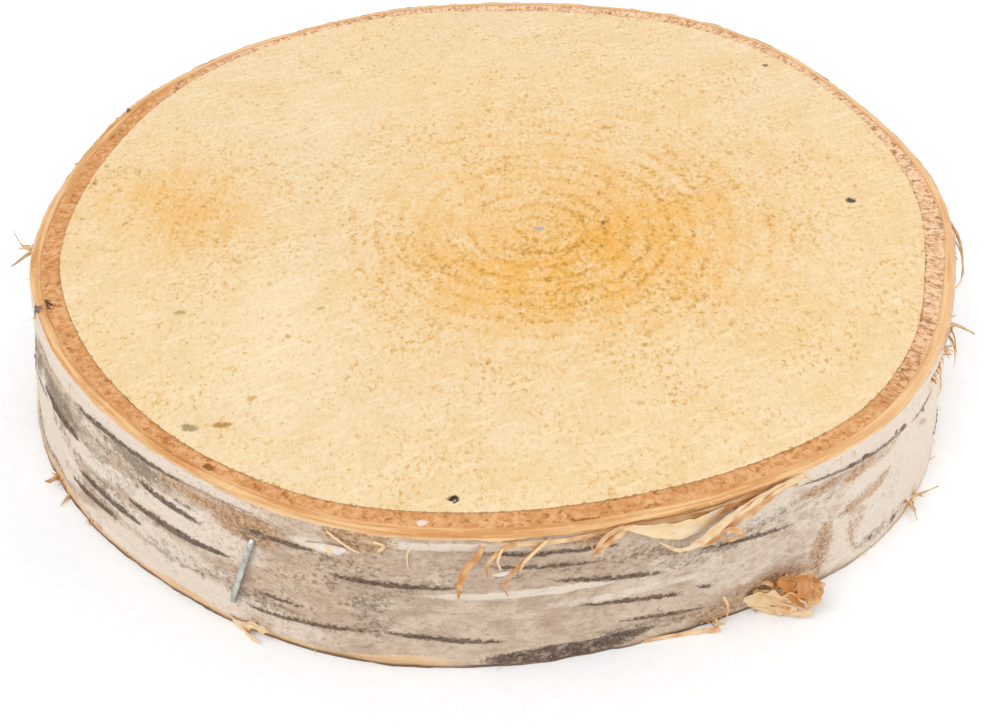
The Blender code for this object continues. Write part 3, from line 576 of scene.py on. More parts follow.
def wood_material(colours):
    """Silver birch sawn across the grain, left dry and unsealed. Pale cream, gone golden
    round the heart, with rings 3 to 4 mm apart drawn by fine brown flecks."""
    material, add, place = new_material("dry_sawn_birch_end_grain")
    growth, stain, from_bark = (
        add("Attribute", {}, 2, attribute_name=name) for name in ("growth", "stain", "from_bark"))

    # Broad drift of colour over 30 mm, clouds of 5 mm, a tooth of 0.5 by 0.8 mm
    drift = grain(add, place, (30.0, 24.0, 30.0))
    cloud = grain(add, place, (5.0, 6.0, 6.0), detail=5.0, roughness=0.6)
    tooth = grain(add, place, (0.5, 0.8, 0.8), detail=4.0, roughness=0.62)
    colour = lay(add, colours.wood, "#ddc49b", drift, 0.35, 0.65)
    colour = lay(add, colour, "#d3b27a", cloud, 0.4, 0.7, 0.36)
    colour = lay(add, colour, "#cbab70", tooth, 0.48, 0.68, 0.38)
    colour = lay(add, colour, "#e9d7b4", tooth, 0.44, 0.34, 0.36)

    # Golden stain round the heart, mottled by the clouds and the tooth
    mottle = add("Math", {0: cloud, 1: tooth})
    mottle = add("MapRange", {0: mottle, 1: 0.5, 2: 1.3, 4: 1.2}, **SMOOTH)
    stained = add("Math", {0: stain, 1: mottle}, operation="MULTIPLY")
    colour = lay(add, colour, colours.heart, stained)
    colour = lay(add, colour, "#e3d3b5", stain, 0.02, -0.16, 0.65)

    # Growth rings: specks and colour gather in a band at the end of each year
    wander = grain(add, place, (9.0, 9.0, 9.0))
    wander = add("Math", {0: wander, 1: RING_WANDER}, operation="MULTIPLY")
    year = add("Math", {0: growth, 1: math.tau / RING_SPACING, 2: wander},
               operation="MULTIPLY_ADD")
    season = add("MapRange", {0: add("Math", {0: year}, operation="SINE")}, **SMOOTH)
    ring_reach = add("MapRange", {0: growth, 1: 52.0, 2: 10.0, 4: 0.5}, **SMOOTH)
    ring_reach = add("Math", {0: ring_reach, 1: stain})
    ring = add("Math", {0: season, 1: ring_reach}, operation="MULTIPLY")
    tinted = add("MapRange", {0: tooth, 1: 0.36, 2: 0.62, 4: 0.32}, **SMOOTH)
    tinted = add("Math", {0: ring, 1: tinted}, operation="MULTIPLY")
    colour = lay(add, colour, "#cf9239", tinted)

    # Flecks of 0.6 by 0.9 mm, thick where the wood is stained and along the rings
    fleck = grain(add, place, (0.6, 0.9, 0.6), detail=4.0, roughness=0.62)
    patchy = grain(add, place, (12.0, 10.0, 7.0), offset=31.0)
    patchy = add("MapRange", {0: patchy, 1: 0.3, 2: 0.7, 4: 0.08}, **SMOOTH)
    fleck = add("Math", {0: fleck, 1: patchy})
    for pattern, share in ((stain, 0.09), (ring, 0.052)):
        fleck = add("Math", {0: pattern, 1: share, 2: fleck}, operation="MULTIPLY_ADD")
    colour = lay(add, colour, "#c6953f", fleck, 0.605, 0.71, 0.6)
    fleck = add("MapRange", {0: fleck, 1: 0.7, 2: 0.83, 4: 0.7}, **SMOOTH)
    colour = lay(add, colour, "#a5722c", fleck)

    # Golden dots from cells of 0.5 by 0.7 mm, all over the face
    dot = grain(add, place, (0.5, 0.7, 0.5), detail=2.0, offset=50.0)
    colour = lay(add, colour, "#c9a04e", dot, 0.6, 0.7, 0.5)

    # Faint pale scratches of the saw, 6 by 0.9 mm, rising to the right, where no stain is
    scratch = grain(add, place, (6.0, 0.9, 9.0), turn=30.0, detail=4.0, offset=12.0)
    scratch = add("MapRange", {0: scratch, 1: 0.52, 2: 0.72, 4: 0.35}, **SMOOTH)
    unstained = add("MapRange", {0: stain, 1: 0.5, 2: 0.0}, **SMOOTH)
    scratch = add("Math", {0: scratch, 1: unstained}, operation="MULTIPLY")
    colour = lay(add, colour, "#eedcb9", scratch)

    # The wood's last layer is dark where the bark's teeth bite into it
    bite = add("Math", {0: tooth, 1: -1.9, 2: from_bark}, operation="MULTIPLY_ADD")
    colour = lay(add, colour, "#8a5c2a", bite, -0.92, -1.12, 0.55)

    # Single specks, each with a ragged edge
    fray = add("TexNoise", {"Vector": place, "Scale": 1.0 / (0.6 * MM), "Detail": 4.0}, 1)
    shift = add("VectorMath", {0: fray, 1: (0.5, 0.5, 0.5)}, operation="SUBTRACT")
    shift = add("VectorMath", {0: shift, "Scale": 1.6 * MM}, operation="SCALE")
    frayed = add("VectorMath", {0: place, 1: shift})
    for *shape, speck, strength in SPECKS:
        colour = lay(add, colour, speck, from_speck(add, frayed, *shape), 1.2, 0.5, strength)

    # Cut fibres: fine tooth, the flecks a little sunk
    height = add("Math", {0: fleck, 1: -0.7, 2: tooth}, operation="MULTIPLY_ADD")
    return dress(material, {
        "Base Color": colour, "Roughness": 0.78, "Specular IOR Level": 0.25,
        "Normal": add("Bump", {"Height": height, "Strength": 0.12, "Distance": 0.2 * MM})})


def inner_bark_material(colours):
    """Inner bark of birch, sawn and dry. Corky, orange-brown and granular at the front
    left, paler with short dashes across the ring at the right, dark along the wood."""
    material, add, place = new_material("sawn_corky_inner_bark")
    across, right = (
        add("Attribute", {}, 2, attribute_name=name) for name in ("across", "right_side"))
    ring_place = add("Attribute", {}, 1, attribute_name="ring_place")

    crumb = grain(add, place, (0.8, 0.8, 0.8), detail=5.0, roughness=0.7)
    cloud = grain(add, place, (4.0, 4.0, 4.0))
    left_colour = lay(add, "#c5864d", "#dcaa78", crumb, 0.36, 0.62)
    left_colour = lay(add, left_colour, colours.inner_bark, cloud, 0.45, 0.7, 0.55)
    right_colour = lay(add, "#cb976b", "#ebc7a2", crumb, 0.34, 0.58)
    colour = lay(add, left_colour, right_colour, right)

    # Dark brown grains about 0.9 mm wide
    dark = grain(add, place, (0.9, 0.9, 0.9), roughness=0.6, offset=7.0)
    colour = lay(add, colour, "#9a5c30", dark, 0.54, 0.68, 0.75)

    # Dashes 0.5 mm wide and 1.8 mm long at the right, pointing at the log's axis
    dash = grain(add, ring_place, (0.5, 0.5, 1.8))
    dash = add("MapRange", {0: dash, 1: 0.55, 2: 0.66, 4: 0.7}, **SMOOTH)
    dashed = add("MapRange", {0: right, 1: -0.08, 2: 0.4}, **SMOOTH)
    dash = add("Math", {0: dash, 1: dashed}, operation="MULTIPLY")
    colour = lay(add, colour, "#98603c", dash)

    # Dark ragged line against the wood, and a thin pale line against the outer bark
    teeth = grain(add, ring_place, (0.7, 0.7, 3.0), detail=5.0, roughness=0.75)
    edge = add("Math", {0: teeth, 1: -1.1, 2: across}, operation="MULTIPLY_ADD")
    edge = add("MapRange", {0: edge, 1: -0.46, 2: -0.6}, **SMOOTH)
    edge_reach = add("Math", {0: right, 1: 0.35, 2: 0.4}, operation="MULTIPLY_ADD")
    edge = add("Math", {0: edge, 1: edge_reach}, operation="MULTIPLY")
    colour = lay(add, colour, "#8a5428", edge)
    colour = lay(add, colour, "#dfb07a", across, 0.9, 0.97, 0.6)
    for *shape, speck in BARK_SPECKS:
        reach = add("Math", {0: crumb, 1: 2.4, 2: from_speck(add, place, *shape)},
                    operation="MULTIPLY_ADD")
        colour = lay(add, colour, speck, reach, 2.35, 1.95, 0.9)

    height = add("Math", {0: dash, 1: -0.5, 2: crumb}, operation="MULTIPLY_ADD")
    return dress(material, {
        "Base Color": colour, "Roughness": 0.88, "Specular IOR Level": 0.2,
        "Normal": add("Bump", {"Height": height, "Strength": 0.8, "Distance": 0.4 * MM})})


def outer_bark_material(colours):
    """Papery birch bark, weathered. Greige and finely mottled, lilac-white where the top
    sheet is whole, dark ragged lenticels, pale orange where the saw opened it."""
    material, add, place = new_material("weathered_birch_bark")
    white, brown, dark, black, lenticel, lip, foot, right = (
        add("Attribute", {}, 2, attribute_name=name) for name in SKIN_MASKS)
    ring_place = add("Attribute", {}, 1, attribute_name="ring_place")

    # Clouds of 5 by 3 mm, blotches of 1.3 by 0.9 mm, crumbs of 0.5 mm
    cloud = grain(add, place, (5.0, 5.0, 3.4), detail=6.0, roughness=0.65)
    blotch = grain(add, place, (1.3, 1.3, 0.9), detail=5.0, roughness=0.65)
    crumb = grain(add, place, (0.5, 0.5, 0.42), detail=4.0, roughness=0.65)
    colour = lay(add, colours.bark, "#d2bda7", cloud, 0.36, 0.64)
    colour = lay(add, colour, "#96806a", blotch, 0.49, 0.66, 0.4)
    colour = lay(add, colour, "#d3c2b0", blotch, 0.46, 0.34, 0.4)

    # Whole sheets stay white, with a ragged edge
    fray = grain(add, place, (2.2, 2.2, 1.2), detail=6.0, roughness=0.68, offset=17.0)
    sheet = add("Math", {0: fray, 1: 1.1, 2: white}, operation="MULTIPLY_ADD")
    colour = lay(add, colour, "#e2d3c3", sheet, 0.85, 1.25, 0.85)

    # Brown stains and dark smudges, both made of grains
    grains = add("Math", {0: add("Math", {0: blotch, 1: crumb}), 1: cloud})
    brown_colour = lay(add, "#c39a70", "#8f6239", crumb, 0.42, 0.62)
    colour = lay(add, colour, brown_colour, add("Math", {0: brown, 1: grains}), 1.65, 2.4, 0.85)
    smudge = add("Math", {0: grains, 1: 1.4, 2: dark}, operation="MULTIPLY_ADD")
    colour = lay(add, colour, "#716250", smudge, 2.35, 3.0, 0.75)

    # Level dashes of 1.9 by 0.3 mm, dark and pale crumbs, and the middles of the sheets
    dash = grain(add, place, (1.9, 1.9, 0.3), detail=4.0, roughness=0.6, offset=5.0)
    colour = lay(add, colour, "#80695a", dash, 0.58, 0.74, 0.4)
    colour = lay(add, colour, "#88725f", crumb, 0.54, 0.7, 0.35)
    colour = lay(add, colour, "#dccdbe", crumb, 0.44, 0.32, 0.25)
    colour = lay(add, colour, "#e6d7c6", sheet, 1.0, 1.35, 0.2)

    # Lenticels, and one painted shadow line low at the left: dark, crumbly, with soft brown borders
    # and ragged edges
    ragged = grain(add, place, (0.5, 0.5, 0.35), detail=4.0, roughness=0.65, offset=3.0)
    line = add("Math", {0: ragged, 1: 0.8, 2: lenticel}, operation="MULTIPLY_ADD")
    colour = lay(add, colour, "#876d54", line, 0.76, 0.98, 0.4)
    line = add("MapRange", {0: line, 1: 0.93, 2: 1.05}, **SMOOTH)
    dark_colour = lay(add, "#34261d", "#745c4a", crumb, 0.38, 0.62)
    faded = add("Math", {0: right, 1: 0.6}, operation="MULTIPLY")
    dark_colour = lay(add, dark_colour, "#93705f", faded)
    cover = add("Math", {0: line, 1: 0.86}, operation="MULTIPLY")
    colour = lay(add, colour, dark_colour, cover)

    # Sawn and torn edge: plies of pale orange paper 0.5 mm thick
    ply = grain(add, ring_place, (12.0, 12.0, 0.5), detail=4.0)
    edge_colour = lay(add, colours.lip, "#dfb582", ply, 0.38, 0.62)
    edge_colour = lay(add, edge_colour, "#b0703e", ply, 0.38, 0.26, 0.45)
    edge_colour = lay(add, edge_colour, "#ebcda5", fray, 0.55, 0.72, 0.5)
    edge_colour = lay(add, edge_colour, "#e0c3a0", lip, 0.95, 0.7, 0.75)
    edge_colour = lay(add, edge_colour, "#e3bd8f", faded)
    edge = add("Math", {0: fray, 1: 0.7, 2: lip}, operation="MULTIPLY_ADD")
    colour = lay(add, colour, edge_colour, edge, 0.88, 1.12)

    # Rough black bark, with crumbs of white left in it, and the dark foot, which is painted contact
    # shadow along the table
    rough = grain(add, place, (1.3, 1.3, 0.8), detail=5.0, roughness=0.7, offset=9.0)
    black_colour = lay(add, dark_colour, "#ab9b8d", rough, 0.5, 0.62, 0.7)
    burnt = add("Math", {0: add("Math", {0: rough, 1: crumb}), 1: 0.8, 2: black},
                operation="MULTIPLY_ADD")
    colour = lay(add, colour, black_colour, burnt, 1.16, 1.42, 0.92)
    # Painted shade: dark brown along the foot of the wall, standing in for the table's contact
    # shadow
    painted_contact_shade = add("Math", {0: foot, 1: 0.85}, operation="MULTIPLY")
    colour = lay(add, colour, "#56381f", painted_contact_shade)

    height = 0.0
    for pattern, share in ((blotch, 1.2), (crumb, 0.8), (line, 0.5), (dash, -0.6)):
        height = add("Math", {0: pattern, 1: share, 2: height}, operation="MULTIPLY_ADD")
    return dress(material, {
        "Base Color": colour, "Roughness": 0.72, "Specular IOR Level": 0.35,
        "Normal": add("Bump", {"Height": height, "Strength": 0.6, "Distance": 0.3 * MM})})


def torn_bark_material(colours):
    """Inside of torn birch bark: thin sheets, white to cream to orange, with a satin side."""
    material, add, place = new_material("torn_birch_paper")
    tint = add("Attribute", {}, 2, attribute_name="tint")
    fibre = grain(add, place, (1.6, 1.6, 0.5), detail=5.0, roughness=0.65)
    colour = lay(add, colours.torn, "#c98a4a", tint, 0.0, 1.0)
    colour = lay(add, colour, "#dcd5d0", tint, 0.0, -0.6)
    colour = lay(add, colour, "#bb8550", fibre, 0.52, 0.72, 0.4)
    return dress(material, {
        "Base Color": colour, "Roughness": 0.6, "Specular IOR Level": 0.4,
        "Normal": add("Bump", {"Height": fibre, "Strength": 0.5, "Distance": 0.2 * MM})})


def steel_material():
    """Galvanised steel wire: dull grey zinc with spangle and drawn lines."""
    material, add, place = new_material("galvanised_steel_wire")
    spangle = grain(add, place, (0.8, 0.8, 1.6))
    lines = grain(add, place, (0.12, 0.12, 4.0), detail=2.0)
    return dress(material, {
        "Base Color": lay(add, "#a6a9a4", "#d0d2cb", spangle, 0.35, 0.65), "Metallic": 1.0,
        "Roughness": add("MapRange", {0: spangle, 1: 0.3, 2: 0.7, 3: 0.32, 4: 0.5}),
        "Normal": add("Bump", {"Height": lines, "Strength": 0.2, "Distance": 0.05 * MM})})


def floor_material():
    """Matt white paper sweep of a photo table, lit from below a little."""
    material, add, place = new_material("matt_white_paper")
    pulp = grain(add, place, (1.5, 1.5, 1.5))
    return dress(material, {
        "Base Color": lay(add, "#edeef0", "#f0f1f2", pulp, 0.3, 0.7),
        "Roughness": 0.95, "Specular IOR Level": 0.0,
        "Emission Color": "#ffffff", "Emission Strength": 0.03})


def turn_section(bm, section, segments, closed):
    """Turn a section of (radius, height) pairs round the log's axis, as a grid wrapped
    round it."""
    rows = section + section[:1] if closed else section
    last = len(rows) - 1
    for vert in bmesh.ops.create_grid(bm, x_segments=segments, y_segments=last, size=0.5)["verts"]:
        radius, height = rows[round((vert.co.y + 0.5) * last)]
        vert.co = at(360.0 * (vert.co.x + 0.5), radius, height)
    bmesh.ops.remove_doubles(bm, verts=bm.verts, dist=1e-5)
    bmesh.ops.recalc_face_normals(bm, faces=bm.faces)


def lenticels():
    """All lenticels, and one painted shadow line among the front ones: the measured ones at the
    front, and a seeded spread behind.
    """
    draw = random.Random(BACK_SEED)
    spacing = (BACK_LENTICELS_TO - BACK_LENTICELS_FROM) / BACK_LENTICELS
    behind = []
    for index in range(BACK_LENTICELS):
        start = BACK_LENTICELS_FROM + spacing * (index + draw.uniform(0.0, 0.3))
        length = draw.uniform(*BACK_LENTICEL_LENGTHS)
        height = BACK_LENTICEL_HEIGHTS[index * 3 % 4] + draw.uniform(-0.8, 0.8)
        tilt = draw.uniform(-0.6, 0.6)
        behind.append((start, height, start + length, height + tilt, draw.uniform(0.7, 1.2)))
    return FRONT_LENTICELS_AND_SHADOW_LINE + tuple(behind)


def lenticel_mask(degrees, height, marks):
    """0.5 along a lenticel's edge, 1 well inside it and 0 well outside."""
    best = 0.0
    for start, low, end, high, tall in marks:
        middle, half = (start + end) / 2.0, (end - start) / 2.0
        away = turns_between(degrees, middle)
        if abs(away) > half + 2.0:
            continue
        share = min(max(away / half, -1.0), 1.0)
        past = (abs(away) - half * abs(share)) * math.radians(WOOD_RADIUS)
        line = low + (high - low) * (share + 1.0) / 2.0
        taper = tall / 2.0 * (0.25 + 0.75 * math.sqrt(max(1.0 - share * share, 0.0)))
        distance = math.hypot(past, height - line) - taper
        best = max(best, min(max(0.5 - distance / 1.5, 0.0), 1.0))
    return best


def patch_mask(degrees, height, patches):
    """How far a point on the wall lies in one of the soft patches."""
    best = 0.0
    for middle, level, long, tall, strength in patches:
        away = turns_between(degrees, middle) * math.radians(WOOD_RADIUS) / long
        rise = (height - level) / tall
        reach = away * away + rise * rise
        if reach < 4.0:
            best = max(best, strength * (1.0 - smooth_step(0.3, 4.0, reach)))
    return best


def size_property(name, description, default, low, high):
    """Small size, given in millimetres."""
    return bpy.props.FloatProperty(
        name=name, description=description, default=default * MM, min=low * MM,
        max=high * MM, unit="LENGTH", precision=5)


def colour_property(name, description, code):
    """Colour, given as an sRGB hex value."""
    return bpy.props.FloatVectorProperty(
        name=name, description=description, subtype="COLOR", size=4,
        default=hex_colour(code), min=0.0, max=1.0)


class BIRCH_PG_sizes(bpy.types.PropertyGroup):
    """Sizes of the slice's surface detail."""
    lenticel_rise: size_property(
        "Lenticel rise", "How far a lenticel stands out from the bark", 0.22, 0.0, 0.4)
    sheet_step: size_property(
        "Sheet step", "Thickness of one papery sheet of bark", 0.14, 0.0, 0.4)
    saw_depth: size_property(
        "Saw depth", "Depth of the saw's marks in the wood", 0.05, 0.0, 0.3)
    fibre_radius: size_property(
        "Fibre radius", "Radius of a torn bark fibre at its root", 0.07, 0.02, 0.3)
    seed: bpy.props.IntProperty(
        name="Seed", description="Seed of the loose fibres", default=11, min=0)


class BIRCH_PG_colours(bpy.types.PropertyGroup):
    """Main colours of the slice."""
    wood: colour_property("Wood", "Pale sawn wood", "#dcc5a0")
    heart: colour_property("Heart", "Golden stain round the pith", "#dda54d")
    inner_bark: colour_property("Inner bark", "Corky inner bark", "#bd7f45")
    bark: colour_property("Bark", "Weathered face of the outer bark", "#b9a088")
    lip: colour_property("Sawn edge", "Outer bark where the saw cut it", "#c88f54")
    torn: colour_property("Torn paper", "Inside of the torn bark", "#e9cca0")


class BIRCH_OT_wood(bpy.types.Operator):
    """Model the disc of sawn wood, its rings growing out from the pith"""
    bl_idname = "birch_slice.wood"
    bl_label = "Wood"

    def execute(self, context):
        bm = bmesh.new()
        growth, stain, from_bark = (
            bm.verts.layers.float.new(name) for name in ("growth", "stain", "from_bark"))
        top = [(step / WOOD_LOOPS, THICKNESS) for step in range(WOOD_LOOPS + 1)]
        edge = [(1.0, THICKNESS * part) for part in (0.75, 0.5, 0.25)]
        under = [(step / 24, 0.0) for step in range(24, -1, -1)]
        turn_section(bm, top + edge + under, WOOD_SEGMENTS, closed=False)
        depth = context.scene.birch_sizes.saw_depth / MM
        for vert in bm.verts:
            share, height = vert.co.xy.length, vert.co.z
            degrees = direction(vert)
            rim = outward(degrees).xy * (wood_radius(degrees, height) + SEAM)
            spot = PITH.lerp(rim, share)
            from_pith = (spot - PITH).length
            vert[growth] = from_pith + (share * WOOD_RADIUS - from_pith) * share
            vert[from_bark] = (rim - spot).length
            vert[stain] = min(1.0, sum(
                strength * math.exp(-((spot.x - x) / wide) ** 2 - ((spot.y - y) / deep) ** 2)
                for x, y, wide, deep, strength in STAINS))
            vert.co = (*spot, height)
            if share < 0.999 and height in (0.0, THICKNESS):
                # The saw ran up to the right, and left low waves across its way
                way = Vector((spot.x * 0.4 + spot.y * 0.9, spot.x * 0.08, height)) / 2.6
                cut = depth * (0.3 + abs(noise.noise(way)))
                vert.co.z += cut if height == 0.0 else -cut
        finish_piece(bm, "wood_disc", wood_material(context.scene.birch_colours),
                     ("wood",))
        return {"FINISHED"}


class BIRCH_OT_inner_bark(bpy.types.Operator):
    """Model the corky ring between the wood and the papery bark"""
    bl_idname = "birch_slice.inner_bark"
    bl_label = "Inner bark"

    def execute(self, context):
        bm = bmesh.new()
        across, right = (bm.verts.layers.float.new(name) for name in ("across", "right_side"))
        ring_place = bm.verts.layers.float_vector.new("ring_place")
        section = ([(1.0 + step / RING_LOOPS, THICKNESS) for step in range(RING_LOOPS + 1)]
                   + [(2.0, THICKNESS / 2)]
                   + [(1.0 + step / 4, 0.0) for step in range(4, -1, -1)] + [(1.0, THICKNESS / 2)])
        turn_section(bm, section, RING_SEGMENTS, closed=True)
        for vert in bm.verts:
            share, height = vert.co.xy.length - 1.0, vert.co.z
            degrees = direction(vert)
            inside = wood_radius(degrees, height) + SEAM
            width = inner_bark_outside(degrees, height) - inside
            vert[across] = share
            vert[ring_place] = at(degrees, WOOD_RADIUS, share * width) * MM
            vert[right] = right_side(degrees, -48.0)
            vert.co = at(degrees, inside + share * width, height)
            if height in (0.0, THICKNESS):
                grains = abs(noise.noise(vert.co / 1.1)) + 0.6 * abs(noise.noise(vert.co / 0.5))
                by_wood = max(0.0, 1.0 - share * 8.0) * abs(noise.noise(vert.co / 0.6))
                cut = 0.05 + 0.16 * grains + 0.06 * by_wood
                vert.co.z += cut if height == 0.0 else -cut
        finish_piece(bm, "inner_bark_ring", inner_bark_material(context.scene.birch_colours),
                     ("inner_bark",))
        return {"FINISHED"}


class BIRCH_OT_outer_bark(bpy.types.Operator):
    """Model the papery bark with its lips, sheets and lenticels"""
    bl_idname = "birch_slice.outer_bark"
    bl_label = "Outer bark"

    def execute(self, context):
        sizes = context.scene.birch_sizes
        rise, sheet = sizes.lenticel_rise / MM, sizes.sheet_step / MM
        bm = bmesh.new()
        layers = {name: bm.verts.layers.float.new(name) for name in SKIN_MASKS}
        ring_place = bm.verts.layers.float_vector.new("ring_place")
        section = ([(1.0 + step / SKIN_LOOPS, THICKNESS) for step in range(SKIN_LOOPS + 1)]
                   + [(2.0, THICKNESS * (1.0 - row / WALL_ROWS)) for row in range(1, WALL_ROWS)]
                   + [(1.0 + step / 3, 0.0) for step in range(3, -1, -1)] + [(1.0, THICKNESS / 2)])
        turn_section(bm, section, SKIN_SEGMENTS, closed=True)
        marks = lenticels()
        for vert in bm.verts:
            share, height = vert.co.xy.length - 1.0, vert.co.z
            degrees = direction(vert)
            way = outward(degrees)
            inside = inner_bark_outside(degrees, height)
            face = wall_radius(degrees, height)
            down = share * (face - inside) + (THICKNESS - height if share > 0.999 else 0.0)
            vert[ring_place] = at(degrees, WOOD_RADIUS, down) * MM
            right = right_side(degrees, -64.0)
            vert[layers["right_side"]] = right
            if share < 0.999:
                black = patch_mask(degrees, height, PATCHES["black"])
                vert.co = at(degrees, inside + share * (face - inside), height)
                vert[layers["lip"]] = 1.0
                vert[layers["black"]] = (0.35 + 0.65 * share) * black
                if height in (0.0, THICKNESS) and share > 0.001:
                    # Sheets part from each other along the sawn edge
                    split = noise.noise(Vector((way.x * 7.0, way.y * 7.0, share * 3.1)))
                    cut = 0.08 + 0.4 * max(0.0, split + 0.15)
                    cut += 0.12 * abs(noise.noise(vert.co / 0.8))
                    vert.co.z += min(cut, 0.3) if height == 0.0 else -cut
                continue
            place = at(degrees, WOOD_RADIUS, height)
            mask = {name: patch_mask(degrees, height, patches)
                    for name, patches in PATCHES.items()}
            mask["brown"] = max(mask["brown"], lenticel_mask(degrees, height, STREAKS))
            # The lenticel mask also holds one painted shadow line low at the left
            mask["lenticel"] = lenticel_mask(degrees, height, marks)
            # The pale lip is wider behind the folded strips and at the right
            folded = smooth_step(-84.0, -76.0, degrees) * (1.0 - smooth_step(-64.0, -56.0, degrees))
            top_edge = THICKNESS + 0.5 * noise.noise(way * 8.0) - 1.4 * folded + 0.35 * right
            left = smooth_step(-178.0, -165.0, degrees) * (1.0 - smooth_step(-96.0, -84.0, degrees))
            foot = (1.0 - smooth_step(1.1, 2.6, height + 1.4 * noise.noise(way * 5.0))) * left
            foot_right = 1.0 - smooth_step(0.5, 1.2, height + 0.8 * noise.noise(way * 9.0))
            foot = max(foot, foot_right * right)
            # Painted contact shadow: the bark is painted dark just above the table, less so at the
            # right
            mask["foot"] = 1.0 - smooth_step(0.3, 0.75, height + 0.4 * noise.noise(way * 14.0))
            mask["foot"] *= 1.0 - 0.75 * right
            mask["lip"] = max(smooth_step(top_edge - 0.5, top_edge + 0.5, height), 0.8 * foot)
            for name, value in mask.items():
                vert[layers[name]] = value
            paper = noise.noise(Vector((place.x / 11.0, place.y / 11.0, place.z / 3.0)))
            paper = max(smooth_step(0.02, 0.08, paper), smooth_step(0.35, 0.5, mask["white"]))
            radius = face + sheet * (paper - 0.6)
            radius += 0.1 * noise.noise(Vector((place.x / 2.6, place.y / 2.6, place.z / 1.1)))
            radius += 0.05 * noise.noise(place / 0.8)
            crumb = 0.7 + 0.9 * noise.noise(place / 0.7)
            radius += rise * smooth_step(0.4, 0.75, mask["lenticel"]) * crumb
            radius += 0.35 * mask["black"] * noise.noise(place / 1.3)
            vert.co = at(degrees, radius, height)
            if height == THICKNESS:
                vert.co.z -= (0.5 * abs(noise.noise(way * BUMP_WIDTH))
                              + 0.25 * abs(noise.noise(way * 60.0)))
        finish_piece(bm, "outer_bark_skin", outer_bark_material(context.scene.birch_colours),
                     ("outer_bark",))
        return {"FINISHED"}


def smooth_path(points):
    """Rows of numbers joined by a smooth curve that goes through each."""
    path = []
    last = len(points) - 1
    for first in range(last):
        rows = [points[min(max(first + step, 0), last)] for step in (-1, 0, 1, 2)]
        for step in range(STRIP_STEPS):
            path.append([curve(step / STRIP_STEPS, *column) for column in zip(*rows)])
    return path + [list(points[last])]


def heading(places, i):
    """Direction of a row of points at one of them."""
    return (places[min(i + 1, len(places) - 1)] - places[max(i - 1, 0)]).normalized()


def add_strip(bm, tint_layer, tint, cup, ragged, points):
    """Thin sheet of torn bark along a path, a little cupped, with ragged sides."""
    path = smooth_path(points)
    last = len(path) - 1
    start = path[0][0]
    places = [on_wall(degrees, min(height, THICKNESS - 0.15), out)
              for degrees, height, out, width in path]
    grid = bmesh.ops.create_grid(bm, x_segments=last, y_segments=STRIP_ACROSS, size=0.5)["verts"]
    for vert in grid:
        i = round((vert.co.x + 0.5) * last)
        side = vert.co.y * 2.0
        along = heading(places, i)
        wide = along.cross(outward(path[i][0])).normalized()
        face = wide.cross(along)
        half = path[i][3] / 2.0
        half *= 1.0 + 2.0 * ragged * noise.noise(Vector((i * 0.31, side * 9.0, start)))
        vert.co = places[i] + wide * (half * side) + face * (cup * half * (side * side - 0.4))
        vert.co += face * (0.25 * half * noise.noise(vert.co / 1.2 + Vector((start, 0.0, 0.0))))
        if i == last:
            tear = noise.noise(Vector((side * 2.3, start, 0.0)))
            vert.co += along * (2.0 * ragged * path[i][3] * tear)
        vert[tint_layer] = tint + 0.6 * noise.noise(vert.co / 1.1) + 0.2 * (i / len(path) - 0.5)
    faces = list(dict.fromkeys(face for vert in grid for face in vert.link_faces))
    bmesh.ops.solidify(bm, geom=faces, thickness=STRIP_THICKNESS)


class BIRCH_OT_peels(bpy.types.Operator):
    """Model the torn peels and shreds as thin curling sheets"""
    bl_idname = "birch_slice.peels"
    bl_label = "Torn peels"

    def execute(self, context):
        bm = bmesh.new()
        tint_layer = bm.verts.layers.float.new("tint")
        for strip in STRIPS.values():
            add_strip(bm, tint_layer, *strip)
        draw = random.Random(context.scene.birch_sizes.seed)
        for degrees, height, count, length in TUFTS:
            for index in range(count):
                lean, drop = draw.uniform(-1.0, 1.0), draw.uniform(-0.9, 0.9)
                long = length * draw.uniform(0.4, 1.0)
                wide = draw.uniform(0.15, 0.45)
                first, level = degrees + draw.uniform(-1.2, 1.2), height + draw.uniform(-0.6, 0.6)
                turn = lean * long / math.radians(WOOD_RADIUS)
                points = [(first + turn * part,
                           min(max(level + drop * long * part, 0.3), THICKNESS - 0.3),
                           -0.1 + 0.7 * long * part ** 1.3, max(wide * (1.0 - part ** 2), 0.08))
                          for part in (0.0, 0.35, 0.7, 1.0)]
                add_strip(bm, tint_layer, draw.uniform(0.0, 0.9), 0.5, 0.2, points)
        bmesh.ops.recalc_face_normals(bm, faces=bm.faces)
        finish_piece(bm, "torn_peels", torn_bark_material(context.scene.birch_colours))
        return {"FINISHED"}


def add_tube(bm, points, sides, section):
    """Tube along a row of points. The section gives a point's offset from the row, by the
    point's index, the row's direction there and the turn round it. Returns the vertices."""
    count = len(points) - 1
    grid = bmesh.ops.create_grid(bm, x_segments=count, y_segments=sides, size=0.5)["verts"]
    for vert in grid:
        i = round((vert.co.x + 0.5) * count)
        turn = math.tau * round((vert.co.y + 0.5) * sides) / sides
        vert.co = points[i] + section(i, heading(points, i), turn)
    return grid


def close_tubes(bm, sides):
    """Join the tubes' long seams and cap their ends."""
    bmesh.ops.remove_doubles(bm, verts=bm.verts, dist=1e-4)
    ends = [edge for edge in bm.edges if edge.is_boundary]
    bmesh.ops.holes_fill(bm, edges=ends, sides=sides)
    bmesh.ops.recalc_face_normals(bm, faces=bm.faces)


def hair_section(root):
    """Section of a fibre: a circle, smaller towards the tip."""
    def section(i, along, turn):
        first = along.orthogonal().normalized()
        second = along.cross(first)
        thin = root * (1.0 - 0.65 * i / FIBRE_STEPS)
        return (first * math.cos(turn) + second * math.sin(turn)) * thin
    return section


